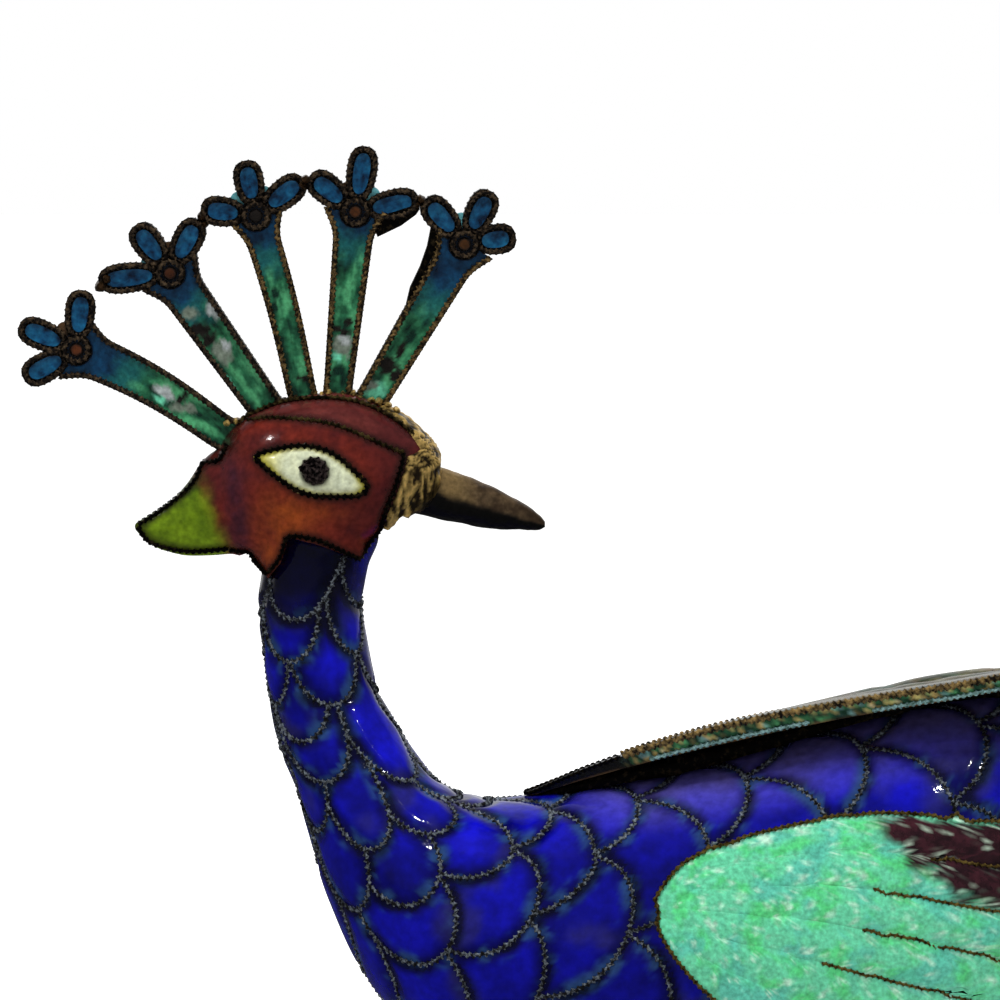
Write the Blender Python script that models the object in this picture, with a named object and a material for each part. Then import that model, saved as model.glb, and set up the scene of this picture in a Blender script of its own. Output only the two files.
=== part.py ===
"""Peacock figurine in enamelled copper, looking back over its train, on a low oval base.

The bird faces -X and its train runs to +X, with +Z up and the origin at the middle of the base's underside.
The free forms (body, head, crest, wings, train) keep their proportions as shares of BODY_LENGTH, with x
measured from the middle of the base and z from the lowest point of the belly. Sheet thicknesses, gaps,
legs and base have sizes of their own.
"""

import math

import bmesh
import bpy
import numpy as np
from mathutils import Matrix, Vector
from mathutils.bvhtree import BVHTree

# Driving dimensions, in metres
BODY_LENGTH = 0.075
LEG_LENGTH = 0.0257
LEG_RADIUS = 0.0010
TOE_LENGTH = 0.0062
TOE_RADIUS = 0.0008
LEG_SPACING = 0.0116
BASE_LENGTH = 0.050
BASE_WIDTH = 0.034
BASE_HEIGHT = 0.0050
BASE_RIM_HEIGHT = 0.0016
BASE_STEP = 0.0012
PLUME_THICKNESS = 0.0014
BOSS_HEIGHT = 0.0004
WING_THICKNESS = 0.0010
TRAIN_THICKNESS = 0.0010
FEATHER_RELIEF = 0.00030
EYE_RELIEF = 0.00030
SOLDER_GAP = 0.0003

BELLY_HEIGHT = BASE_HEIGHT + LEG_LENGTH

# Body stations, from the top of the neck to the rump, as shares of BODY_LENGTH:
# x and z on the back, x and z on the breast, and the half width between them
BODY_STATIONS = (
    (-0.552, 0.652, -0.622, 0.642, 0.030),
    (-0.524, 0.618, -0.632, 0.610, 0.046),
    (-0.534, 0.584, -0.636, 0.578, 0.049),
    (-0.539, 0.548, -0.640, 0.546, 0.051),
    (-0.534, 0.505, -0.636, 0.500, 0.052),
    (-0.523, 0.458, -0.629, 0.450, 0.054),
    (-0.506, 0.428, -0.620, 0.405, 0.060),
    (-0.487, 0.397, -0.604, 0.365, 0.068),
    (-0.460, 0.366, -0.591, 0.320, 0.080),
    (-0.422, 0.351, -0.570, 0.250, 0.096),
    (-0.370, 0.352, -0.528, 0.165, 0.114),
    (-0.300, 0.366, -0.450, 0.082, 0.132),
    (-0.200, 0.385, -0.320, 0.022, 0.146),
    (-0.090, 0.417, -0.160, 0.000, 0.153),
    (0.026, 0.447, 0.000, 0.008, 0.150),
    (0.130, 0.460, 0.140, 0.050, 0.134),
    (0.240, 0.466, 0.260, 0.114, 0.110),
    (0.340, 0.460, 0.370, 0.195, 0.082),
    (0.425, 0.438, 0.460, 0.280, 0.052),
    (0.482, 0.405, 0.506, 0.350, 0.022),
)
BODY_RINGS = 38
BODY_SIDES = 22
SOCKET_STATIONS = 4
SOCKET_RINGS = 13

# Head stations, from the back of the crown to the root of the beak: x, top z, bottom z, half width
HEAD_STATIONS = (
    (-0.687, 0.690, 0.606, 0.016),
    (-0.673, 0.716, 0.598, 0.034),
    (-0.651, 0.735, 0.592, 0.047),
    (-0.621, 0.749, 0.588, 0.057),
    (-0.581, 0.757, 0.588, 0.063),
    (-0.546, 0.756, 0.592, 0.062),
    (-0.516, 0.743, 0.606, 0.055),
    (-0.491, 0.728, 0.624, 0.045),
    (-0.473, 0.711, 0.640, 0.035),
    (-0.463, 0.698, 0.656, 0.025),
)
HEAD_RINGS = 15
HEAD_SIDES = 22

# Pointed flap at the nape: x, top z, bottom z, half width
NAPE_STATIONS = (
    (-0.766, 0.627, 0.621, 0.004),
    (-0.750, 0.636, 0.605, 0.008),
    (-0.729, 0.650, 0.597, 0.012),
    (-0.713, 0.667, 0.594, 0.016),
    (-0.697, 0.690, 0.594, 0.022),
    (-0.679, 0.703, 0.595, 0.029),
    (-0.656, 0.709, 0.597, 0.036),
)
NAPE_RINGS = 9
NAPE_SIDES = 16

# Collar that the face runs down into, and the lower edge of the face with its two points
COLLAR_CENTRE = (-0.584, 0.600)
COLLAR_RADIUS = 0.061
COLLAR_DEPTH = 0.110
FACE_EDGE = (
    (-0.440, 0.660),
    (-0.496, 0.636),
    (-0.522, 0.620),
    (-0.534, 0.602),
    (-0.541, 0.592),
    (-0.561, 0.601),
    (-0.611, 0.616),
    (-0.615, 0.595),
    (-0.631, 0.574),
    (-0.652, 0.598),
    (-0.686, 0.584),
)
FACE_EDGE_BELOW = 0.480

# Almond eye on each side of the head: centre, half length, half height, tilt and pupil
EYE_CENTRE = (-0.590, 0.679)
EYE_HALF_LENGTH = 0.054
EYE_HALF_HEIGHT = 0.023
EYE_TILT = math.radians(-13)
PUPIL_CENTRE = (-0.583, 0.678)
PUPIL_RADIUS = 0.015

# Beak stations, from its root to its tip: x, z, half height, half width
BEAK_STATIONS = (
    (-0.492, 0.664, 0.0265, 0.0260),
    (-0.460, 0.657, 0.0262, 0.0250),
    (-0.440, 0.652, 0.0250, 0.0235),
    (-0.420, 0.646, 0.0230, 0.0210),
    (-0.400, 0.6405, 0.0195, 0.0180),
    (-0.380, 0.6345, 0.0145, 0.0135),
    (-0.362, 0.628, 0.0085, 0.0080),
    (-0.355, 0.6255, 0.0030, 0.0030),
)
BEAK_RINGS = 10
BEAK_SIDES = 12

# Crest plumes, from the nape forward: root x and z, boss x and z, bow to the left of the way up, width at the
# root, width at the top, lean across the crest in degrees, and each petal's turn in degrees and its length
PLUMES = (
    (-0.681, 0.720, -0.823, 0.800, -0.006, 0.037, 0.049, 3.0, ((6, 0.063), (58, 0.061), (-66, 0.055))),
    (-0.638, 0.749, -0.729, 0.877, 0.000, 0.037, 0.048, -2.0, ((61, 0.069), (1, 0.059), (-63, 0.056))),
    (-0.599, 0.762, -0.644, 0.934, -0.003, 0.031, 0.038, 2.0, ((68, 0.050), (-4, 0.055), (-67, 0.056))),
    (-0.561, 0.770, -0.544, 0.938, 0.000, 0.030, 0.046, -2.0, ((57, 0.054), (-3, 0.065), (-73, 0.060))),
    (-0.524, 0.758, -0.436, 0.906, 0.000, 0.034, 0.046, 3.0, ((71, 0.057), (4, 0.060), (-51, 0.050))),
)
PLUME_ROOT_DEPTH = 0.024
STEM_STEPS = 3
PETAL_START = 0.010
PETAL_HALF_WIDTH = 0.0165
PETAL_SIDES = 11
ROSETTE_RADIUS = 0.0165
ROSETTE_SIDES = 12

# Wing edges seen from the side, from the shoulder to the tip
WING_TOP = (
    (-0.246, 0.262),
    (-0.206, 0.300),
    (-0.124, 0.326),
    (-0.026, 0.342),
    (0.090, 0.334),
    (0.230, 0.312),
    (0.380, 0.280),
    (0.530, 0.236),
)
WING_BOTTOM = (
    (-0.242, 0.235),
    (-0.222, 0.205),
    (-0.190, 0.172),
    (-0.150, 0.145),
    (-0.110, 0.124),
    (-0.070, 0.108),
    (-0.035, 0.097),
    (0.000, 0.090),
)
WING_FEATHERS = 6
WING_ROWS = 9
WING_FEATHER_STEPS = 3
WING_TIP_DEPTH = 0.10
WING_FLARE_FRONT = 0.060
WING_FLARE_TIP = 0.112
WING_REAR_BOW = 0.055
WING_ROOT_SOFTNESS = 4 * SOLDER_GAP

# Train stations, from the tongue on the back to the end: x and z of the ridge, half width, droop of the edge,
# and the sheet's thickness as a share of TRAIN_THICKNESS
TRAIN_STATIONS = (
    (-0.373, 0.362, 0.006, 0.000, 0.35),
    (-0.340, 0.376, 0.030, 0.003, 0.50),
    (-0.300, 0.392, 0.050, 0.006, 0.80),
    (-0.240, 0.413, 0.068, 0.008, 1.00),
    (-0.160, 0.435, 0.084, 0.009, 1.00),
    (-0.060, 0.453, 0.102, 0.010, 1.00),
    (0.040, 0.472, 0.120, 0.012, 1.00),
    (0.140, 0.487, 0.138, 0.018, 1.00),
    (0.260, 0.496, 0.158, 0.030, 1.00),
    (0.390, 0.483, 0.184, 0.044, 1.00),
    (0.530, 0.449, 0.214, 0.056, 1.00),
    (0.680, 0.398, 0.250, 0.064, 1.00),
    (0.840, 0.332, 0.290, 0.068, 1.00),
    (1.000, 0.258, 0.326, 0.068, 1.00),
    (1.180, 0.176, 0.352, 0.066, 1.00),
)
TRAIN_FEATHERS = 9
TRAIN_ROWS = 15
TRAIN_FEATHER_STEPS = 3
TRAIN_END_BOW = 0.13
TRAIN_TIP_DEPTH = 0.040
TRAIN_RELIEF_RISE = 2

# Thighs and legs: x and z of hip, hock and foot, the thigh's radii, and each part's swell or taper as a
# share of its own radius or length
HIP = (-0.060, 0.090)
HOCK_X = 0.012
HOCK_DROP = 0.115
FOOT_X = -0.020
THIGH_END_DROP = 0.062
THIGH_RADIUS = 0.062
THIGH_END_RADIUS = 0.027
THIGH_BEND_PLACE = 0.72
THIGH_HIP_FLATNESS = 0.8
THIGH_BEND_FLATNESS = 0.9
LEG_TOP_SWELL = 1.25
ANKLE_TAPER = 0.9
HOCK_SWELL = 1.35
FOOT_PAD_SWELL = 1.15
FOOT_PAD_STRETCH = (1.9, 1.6, 1.0)
TOE_SPREAD = math.radians(34)
SIDE_TOE_SHARE = 0.92
BACK_TOE_SHARE = 0.6
CLAW_HEIGHT = 0.45
CLAW_TAPER = 0.4
LEG_SIDES = 8

# Shoulder of the base, from its step to its flat top: inset in steps and share of the shoulder's height
BASE_SHOULDER = ((1.0, 0.0), (1.25, 0.45), (1.8, 0.82), (2.8, 1.0))
BASE_SIDES = 40

# Edges that turn more than this are drawn sharp
SHARP_ANGLE = math.radians(40)


def figure(x, z, y=0.0):
    """A point of the free forms, from shares of BODY_LENGTH to metres."""
    return Vector((x * BODY_LENGTH, y * BODY_LENGTH, z * BODY_LENGTH + BELLY_HEIGHT))


def along(rows, t):
    """The row of values at t, 0 at the first row and 1 at the last, on a smooth curve through all of them."""
    rows = np.asarray(rows, float)
    place = min(max(t, 0.0), 1.0) * (len(rows) - 1)
    i = min(int(place), len(rows) - 2)
    f = place - i
    before, start = rows[max(i - 1, 0)], rows[i]
    end, after = rows[i + 1], rows[min(i + 2, len(rows) - 1)]
    linear = (end - before) * f
    square = (2 * before - 5 * start + 4 * end - after) * f**2
    cube = (3 * start - before - 3 * end + after) * f**3
    return 0.5 * (2 * start + linear + square + cube)


def material(name, colour, roughness, metallic=0.0):
    made = bpy.data.materials.new(name)
    made.use_nodes = True
    shader = made.node_tree.nodes["Principled BSDF"]
    shader.inputs["Base Color"].default_value = (*colour, 1.0)
    shader.inputs["Roughness"].default_value = roughness
    shader.inputs["Metallic"].default_value = metallic
    return made


def add_object(name, bm, finish=None):
    """Puts a finished bmesh in the scene. With no finish it is a helper that only cuts or joins."""
    bmesh.ops.recalc_face_normals(bm, faces=bm.faces)
    mesh = bpy.data.meshes.new(name)
    bm.to_mesh(mesh)
    bm.free()
    made = bpy.data.objects.new(name, mesh)
    bpy.context.scene.collection.objects.link(made)
    if finish is None:
        made.hide_render = True
        made.display_type = "WIRE"
    else:
        mesh.materials.append(finish)
        mesh.shade_smooth()
        mesh.set_sharp_from_angle(angle=SHARP_ANGLE)
    return made


def combine(target, helper, operation):
    """Joins a helper to the target, cuts it away, or keeps what both share."""
    boolean = target.modifiers.new(f"{operation} {helper.name}", "BOOLEAN")
    boolean.operation = operation
    boolean.solver = "EXACT"
    boolean.object = helper


def loft(rings):
    """A closed skin over rings that each have as many points, with a flat cap at both ends."""
    bm = bmesh.new()
    loops = [[bm.verts.new(point) for point in ring] for ring in rings]
    for first, second in zip(loops, loops[1:]):
        for i in range(len(first)):
            j = (i + 1) % len(first)
            bm.faces.new((first[i], first[j], second[j], second[i]))
    bm.faces.new(loops[0])
    bm.faces.new(loops[-1])
    return bm


def oval(centre, up, side, sides):
    """A ring of points round a centre, with the half axes up and side."""
    turns = [2 * math.pi * i / sides for i in range(sides)]
    return [centre + up * math.cos(a) + side * math.sin(a) for a in turns]


def prism(outline, half_depth):
    """A plate with that outline in the X-Z plane, half_depth thick each way along Y."""
    near = [Vector((p.x, -half_depth, p.z)) for p in outline]
    far = [Vector((p.x, half_depth, p.z)) for p in outline]
    return loft([near, far])


def rod(start, end, start_radius, end_radius, sides=LEG_SIDES):
    """A tapered round bar between two points."""
    axis = (end - start).normalized()
    up = axis.orthogonal().normalized()
    side = axis.cross(up)
    return loft(
        [
            oval(start, up * start_radius, side * start_radius, sides),
            oval(end, up * end_radius, side * end_radius, sides),
        ]
    )


def body_ring(t, grow=0.0):
    """The body's section at t, grown outwards by a clearance."""
    back_x, back_z, breast_x, breast_z, half_width = along(BODY_STATIONS, t)
    back, breast = figure(back_x, back_z), figure(breast_x, breast_z)
    half = (back - breast) / 2
    up = half * (1 + grow / half.length)
    side = Vector((0, half_width * BODY_LENGTH + grow, 0))
    return oval((back + breast) / 2, up, side, BODY_SIDES)


def thigh(side):
    """One feathered thigh, which runs from inside the body down to the bare leg."""
    hip = figure(*HIP)
    end = figure(HOCK_X, -THIGH_END_DROP)
    hip.y = end.y = side * LEG_SPACING / 2
    radius, end_radius = THIGH_RADIUS * BODY_LENGTH, THIGH_END_RADIUS * BODY_LENGTH
    middle = hip.lerp(end, THIGH_BEND_PLACE)
    across = Vector((0, 1, 0))
    ahead = Vector((1, 0, 0))
    mean = 0.5 * (radius + end_radius)
    return loft(
        [
            oval(hip, ahead * radius, across * radius * THIGH_HIP_FLATNESS, LEG_SIDES + 2),
            oval(middle, ahead * mean, across * mean * THIGH_BEND_FLATNESS, LEG_SIDES + 2),
            oval(end, ahead * end_radius, across * end_radius, LEG_SIDES + 2),
        ]
    )


def make_body(finish):
    rings = [body_ring(i / (BODY_RINGS - 1)) for i in range(BODY_RINGS)]
    body = add_object("body", loft(rings), finish)
    for name, side in (("thigh_left_form", -1), ("thigh_right_form", 1)):
        combine(body, add_object(name, thigh(side)), "UNION")
    return body


def head_form(grow=0.0):
    """The rounded head without its nape and collar, grown outwards by a clearance."""
    rings = []
    for i in range(HEAD_RINGS):
        x, top, bottom, half_width = along(HEAD_STATIONS, i / (HEAD_RINGS - 1))
        centre = figure(x, (top + bottom) / 2)
        up = Vector((0, 0, (top - bottom) / 2 * BODY_LENGTH + grow))
        rings.append(oval(centre, up, Vector((0, half_width * BODY_LENGTH + grow, 0)), HEAD_SIDES))
    ends = Vector((grow, 0, 0))
    rings[0] = [p - ends for p in rings[0]]
    rings[-1] = [p + ends for p in rings[-1]]
    return loft(rings)


def nape_form(grow=0.0):
    """The pointed nape, grown outwards by a clearance."""
    rings = []
    for i in range(NAPE_RINGS):
        x, top, bottom, half_width = along(NAPE_STATIONS, i / (NAPE_RINGS - 1))
        centre = figure(x, (top + bottom) / 2)
        up = Vector((0, 0, (top - bottom) / 2 * BODY_LENGTH + grow))
        rings.append(oval(centre, up, Vector((0, half_width * BODY_LENGTH + grow, 0)), NAPE_SIDES))
    rings[0] = [p - Vector((grow, 0, 0)) for p in rings[0]]
    return loft(rings)


def collar_form():
    """The short round collar that the face runs down into."""
    radius = COLLAR_RADIUS * BODY_LENGTH
    x, z = COLLAR_CENTRE
    rings = [
        oval(figure(x, z + rise), Vector((radius, 0, 0)), Vector((0, radius, 0)), HEAD_SIDES)
        for rise in (-COLLAR_DEPTH / 2, COLLAR_DEPTH / 2)
    ]
    return loft(rings)


def face_edge_cutter():
    """All that lies below the pointed lower edge of the face."""
    edge = [figure(x, z) for x, z in FACE_EDGE]
    below = [figure(FACE_EDGE[-1][0], FACE_EDGE_BELOW), figure(FACE_EDGE[0][0], FACE_EDGE_BELOW)]
    return prism(edge + below, COLLAR_RADIUS * BODY_LENGTH * 2)


def almond(half_length, half_height, centre, tilt, steps=9):
    """The outline of an eye: two arcs that meet in a point at each end."""
    top = [(-1 + 2 * i / steps) for i in range(steps + 1)]
    arc = [(half_length * t, half_height * (1 - t * t)) for t in top]
    arc += [(x, -z) for x, z in arc[-2:0:-1]]
    turned = [
        (x * math.cos(tilt) - z * math.sin(tilt), x * math.sin(tilt) + z * math.cos(tilt))
        for x, z in arc
    ]
    return [figure(centre[0] + x, centre[1] + z) for x, z in turned]


def make_head(finish):
    """The head with its nape, collar, raised eyes and pupils, and the socket that laps over the neck."""
    head = add_object("head", head_form(), finish)
    combine(head, add_object("nape_form", nape_form()), "UNION")
    combine(head, add_object("collar_form", collar_form()), "UNION")
    combine(head, add_object("face_edge_cutter", face_edge_cutter()), "DIFFERENCE")
    through = COLLAR_RADIUS * BODY_LENGTH * 2
    eye_outline = almond(EYE_HALF_LENGTH, EYE_HALF_HEIGHT, EYE_CENTRE, EYE_TILT)
    eye = add_object("eye_form", prism(eye_outline, through))
    combine(eye, add_object("eye_surface", head_form(EYE_RELIEF)), "INTERSECT")
    combine(head, eye, "UNION")
    radius = PUPIL_RADIUS * BODY_LENGTH
    ring = oval(figure(*PUPIL_CENTRE), Vector((radius, 0, 0)), Vector((0, 0, radius)), ROSETTE_SIDES)
    pupil = add_object("pupil_form", prism(ring, through))
    combine(pupil, add_object("pupil_surface", head_form(2 * EYE_RELIEF)), "INTERSECT")
    combine(head, pupil, "UNION")
    last = SOCKET_STATIONS / (len(BODY_STATIONS) - 1)
    socket_rings = [body_ring(last * i / (SOCKET_RINGS - 1), SOLDER_GAP) for i in range(SOCKET_RINGS)]
    socket_rings[0] = [p + Vector((0, 0, SOLDER_GAP)) for p in socket_rings[0]]
    combine(head, add_object("neck_socket", loft(socket_rings)), "DIFFERENCE")
    return head


def make_beak(finish):
    """The metal beak: a cone that is cut to sit on the front of the face."""
    rings = []
    for i in range(BEAK_RINGS):
        x, z, half_height, half_width = along(BEAK_STATIONS, i / (BEAK_RINGS - 1))
        up = Vector((0, 0, half_height * BODY_LENGTH))
        rings.append(oval(figure(x, z), up, Vector((0, half_width * BODY_LENGTH, 0)), BEAK_SIDES))
    beak = add_object("beak", loft(rings), finish)
    combine(beak, add_object("beak_seat", head_form(SOLDER_GAP)), "DIFFERENCE")
    return beak


def make_plume(number, row, seat, finish):
    """One crest plume: a stem that widens upwards, three petals and a round boss, cut to sit on the crown."""
    x, z, top_x, top_z, bow, root_width, top_width, lean, petals = row
    unit = BODY_LENGTH
    root, top = figure(x, z), figure(top_x, top_z)
    ahead = (top - root).normalized()
    across = Vector((-ahead.z, 0, ahead.x))
    angle = math.atan2(ahead.z, ahead.x)
    left, right = [], []
    for i in range(STEM_STEPS + 1):
        t = i / STEM_STEPS
        middle = root.lerp(top, t) + across * bow * math.sin(math.pi * t) * unit
        if i == 0:
            middle -= ahead * PLUME_ROOT_DEPTH * unit
        width = (root_width + (top_width - root_width) * t) * unit
        left.append(middle + across * width / 2)
        right.append(middle - across * width / 2)
    stem = left + right[::-1]
    half = PLUME_THICKNESS / 2
    plume = add_object(f"crest_plume_{number}", prism(stem, half), finish)
    for turn, petal_length in petals:
        way = angle + math.radians(turn)
        out = Vector((math.cos(way), 0, math.sin(way)))
        aside = Vector((-math.sin(way), 0, math.cos(way)))
        centre = top + out * (PETAL_START + petal_length) / 2 * unit
        reach = (petal_length - PETAL_START) / 2 * unit
        ring = oval(centre, out * reach, aside * PETAL_HALF_WIDTH * unit, PETAL_SIDES)
        combine(plume, add_object(f"petal_form_{number}_{turn}", prism(ring, half)), "UNION")
    radius = ROSETTE_RADIUS * unit
    ring = oval(top, Vector((radius, 0, 0)), Vector((0, 0, radius)), ROSETTE_SIDES)
    boss = add_object(f"boss_form_{number}", prism(ring, half + BOSS_HEIGHT))
    combine(plume, boss, "UNION")
    place = (
        Matrix.Translation(root)
        @ Matrix.Rotation(math.radians(lean), 4, ahead)
        @ Matrix.Translation(-root)
    )
    for piece in [plume] + [m.object for m in plume.modifiers]:
        piece.matrix_world = place
    combine(plume, seat, "DIFFERENCE")
    return plume


def surface_of(made):
    """A search tree over the object's final surface."""
    bpy.context.view_layer.update()
    graph = bpy.context.evaluated_depsgraph_get()
    return BVHTree.FromObject(made, graph)


def larger(a, b, softness):
    """The larger of two values, with a smooth change from one to the other."""
    return 0.5 * (a + b + math.sqrt((a - b) ** 2 + softness**2))


def sheet(inner, outer, name, finish):
    """A curved metal sheet between two grids of points, the inner face and the outer one."""
    bm = bmesh.new()
    faces = []
    for grid in (inner, outer):
        rows = [[bm.verts.new(p) for p in row] for row in grid]
        for first, second in zip(rows, rows[1:]):
            for i in range(len(first) - 1):
                bm.faces.new((first[i], second[i], second[i + 1], first[i + 1]))
        left, right = [row[0] for row in rows], [row[-1] for row in rows]
        faces.append(rows[0] + right[1:] + rows[-1][-2::-1] + left[-2:0:-1])
    for i in range(len(faces[0])):
        j = (i + 1) % len(faces[0])
        bm.faces.new((faces[0][i], faces[0][j], faces[1][j], faces[1][i]))
    return add_object(name, bm, finish)


def thickened(grid, thickness):
    """The same grid moved along its own normals, by thickness(row, column)."""
    moved = []
    for r, row in enumerate(grid):
        out = []
        for c, point in enumerate(row):
            ahead = grid[min(r + 1, len(grid) - 1)][c] - grid[max(r - 1, 0)][c]
            aside = row[min(c + 1, len(row) - 1)] - row[max(c - 1, 0)]
            out.append(point + ahead.cross(aside).normalized() * thickness(r, c))
        moved.append(out)
    return moved


def feather_columns(count, steps):
    """Places across a fan of feathers, 0 to 1, each with how far it is through its own feather, 0 to 1."""
    places = []
    for i in range(count * steps + 1):
        through = (i % steps) / steps
        places.append((i / (count * steps), through))
    return places


def make_wing(side, name, skin, finish):
    """One folded wing: a sheet that lies along the flank, with its flight feathers ending in rounded tips."""
    columns = feather_columns(WING_FEATHERS, WING_FEATHER_STEPS)
    grid = []
    for r in range(WING_ROWS + 1):
        row = []
        for v, through in columns:
            crown = math.sin(math.pi * through)
            tip = 1.0 - WING_TIP_DEPTH * (1.0 - crown)
            reach = 1.0 - WING_REAR_BOW * math.sin(math.pi * v)
            u = r / WING_ROWS * tip * reach
            top = along(WING_TOP, u)
            bottom = along(WING_BOTTOM, u)
            x, z = top + (bottom - top) * v
            outer = figure(x, z)
            start = Vector((outer.x, side * BODY_LENGTH, outer.z))
            hit = skin.ray_cast(start, Vector((0, -side, 0)))[0]
            flare = (WING_FLARE_FRONT + (WING_FLARE_TIP - WING_FLARE_FRONT) * u) * BODY_LENGTH
            flank = abs(hit.y) + SOLDER_GAP if hit else 0.0
            y = larger(flank, flare, WING_ROOT_SOFTNESS) + crown * FEATHER_RELIEF * r / WING_ROWS
            row.append(Vector((outer.x, side * y, outer.z)))
        grid.append(row if side > 0 else row[::-1])
    return sheet(grid, thickened(grid, lambda r, c: WING_THICKNESS), name, finish)


def make_train(skin, finish):
    """The long train: one sheet arched over the back, widening to nine feather tips."""
    columns = feather_columns(TRAIN_FEATHERS, TRAIN_FEATHER_STEPS)
    grid, gauges = [], []
    for r in range(TRAIN_ROWS + 1):
        row, gauge_row = [], []
        for place, through in columns:
            v = 2 * place - 1
            crown = math.sin(math.pi * through)
            tip = 1.0 - TRAIN_TIP_DEPTH * (1.0 - crown)
            reach = 1.0 - TRAIN_END_BOW * v * v
            u = r / TRAIN_ROWS * tip * reach
            x, z, half_width, droop, gauge = along(TRAIN_STATIONS, u)
            under = figure(x, z - droop * v * v, v * half_width)
            under.z -= TRAIN_THICKNESS * gauge
            above = Vector((under.x, under.y, under.z + BODY_LENGTH))
            hit = skin.ray_cast(above, Vector((0, 0, -1)))[0]
            if hit:
                under.z = larger(hit.z + SOLDER_GAP, under.z, SOLDER_GAP)
            under.z += crown * FEATHER_RELIEF * min(1.0, TRAIN_RELIEF_RISE * u)
            row.append(under)
            gauge_row.append(TRAIN_THICKNESS * gauge)
        grid.append(row)
        gauges.append(gauge_row)
    return sheet(grid, thickened(grid, lambda r, c: gauges[r][c]), "train", finish)


def make_leg(side, name, finish):
    """A bare leg with its foot: shank, hock, three toes forward and one back, with tapered claws."""
    y = side * LEG_SPACING / 2
    top = figure(HOCK_X, -THIGH_END_DROP)
    top.y = y
    top.z -= SOLDER_GAP
    hock = figure(HOCK_X, -HOCK_DROP)
    hock.y = y
    ground = BASE_HEIGHT + SOLDER_GAP
    ankle = Vector((FOOT_X * BODY_LENGTH, y, ground + 2 * TOE_RADIUS))
    leg = add_object(name, rod(top, hock, LEG_RADIUS * LEG_TOP_SWELL, LEG_RADIUS), finish)
    shank = add_object(f"{name}_shank", rod(hock, ankle, LEG_RADIUS, LEG_RADIUS * ANKLE_TAPER))
    combine(leg, shank, "UNION")
    knob = bmesh.new()
    place = Matrix.Translation(hock)
    bmesh.ops.create_icosphere(knob, subdivisions=1, radius=LEG_RADIUS * HOCK_SWELL, matrix=place)
    combine(leg, add_object(f"{name}_hock", knob), "UNION")
    pad = bmesh.new()
    pad_radius = TOE_RADIUS * FOOT_PAD_SWELL
    middle = Vector((ankle.x, y, ground + pad_radius))
    place = Matrix.Translation(middle) @ Matrix.Diagonal((*FOOT_PAD_STRETCH, 1.0))
    bmesh.ops.create_icosphere(pad, subdivisions=2, radius=pad_radius, matrix=place)
    combine(leg, add_object(f"{name}_pad", pad), "UNION")
    toes = [(math.pi + turn * TOE_SPREAD, 1.0 if turn == 0 else SIDE_TOE_SHARE) for turn in (-1, 0, 1)]
    for number, (way, share) in enumerate(toes + [(0.0, BACK_TOE_SHARE)]):
        out = Vector((math.cos(way), math.sin(way), 0)) * TOE_LENGTH * share
        start = Vector((ankle.x, y, ground + TOE_RADIUS))
        end = Vector((ankle.x, y, ground + TOE_RADIUS * CLAW_HEIGHT)) + out
        toe = rod(start, end, TOE_RADIUS, TOE_RADIUS * CLAW_TAPER, LEG_SIDES - 2)
        combine(leg, add_object(f"{name}_toe_{number}", toe), "UNION")
    return leg


def make_base(finish):
    """The low oval base: a plain rim, a step in and a domed shoulder up to the flat top."""
    shoulder = BASE_HEIGHT - BASE_RIM_HEIGHT
    profile = [(0.0, 0.0), (0.0, BASE_RIM_HEIGHT)]
    profile += [(BASE_STEP * steps, BASE_RIM_HEIGHT + shoulder * share) for steps, share in BASE_SHOULDER]
    rings = [
        oval(
            Vector((0, 0, height)),
            Vector((BASE_LENGTH / 2 - inset, 0, 0)),
            Vector((0, BASE_WIDTH / 2 - inset, 0)),
            BASE_SIDES,
        )
        for inset, height in profile
    ]
    return add_object("base", loft(rings), finish)


def main():
    for old in list(bpy.data.objects):
        bpy.data.objects.remove(old)
    cobalt = material("cobalt_enamel", (0.010, 0.016, 0.36), 0.15)
    brick = material("brick_red_enamel", (0.25, 0.035, 0.015), 0.15)
    green = material("green_enamel", (0.03, 0.26, 0.13), 0.25)
    turquoise = material("turquoise_enamel", (0.16, 0.62, 0.42), 0.25)
    brass = material("old_brass", (0.36, 0.25, 0.11), 0.38, 1.0)
    body = make_body(cobalt)
    make_head(brick)
    make_beak(brass)
    seat = add_object("crest_seat", head_form(SOLDER_GAP))
    combine(seat, add_object("crest_seat_nape", nape_form(SOLDER_GAP)), "UNION")
    for number, row in enumerate(PLUMES, 1):
        make_plume(number, row, seat, green)
    skin = surface_of(body)
    make_wing(-1, "wing_left", skin, turquoise)
    make_wing(1, "wing_right", skin, turquoise)
    make_train(skin, green)
    make_leg(-1, "leg_left", brass)
    make_leg(1, "leg_right", brass)
    make_base(brass)


main()
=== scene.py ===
import math

import bmesh
import bpy
import numpy as np
from mathutils import Matrix, Vector, noise
from mathutils.bvhtree import BVHTree
from mathutils.kdtree import KDTree


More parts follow.
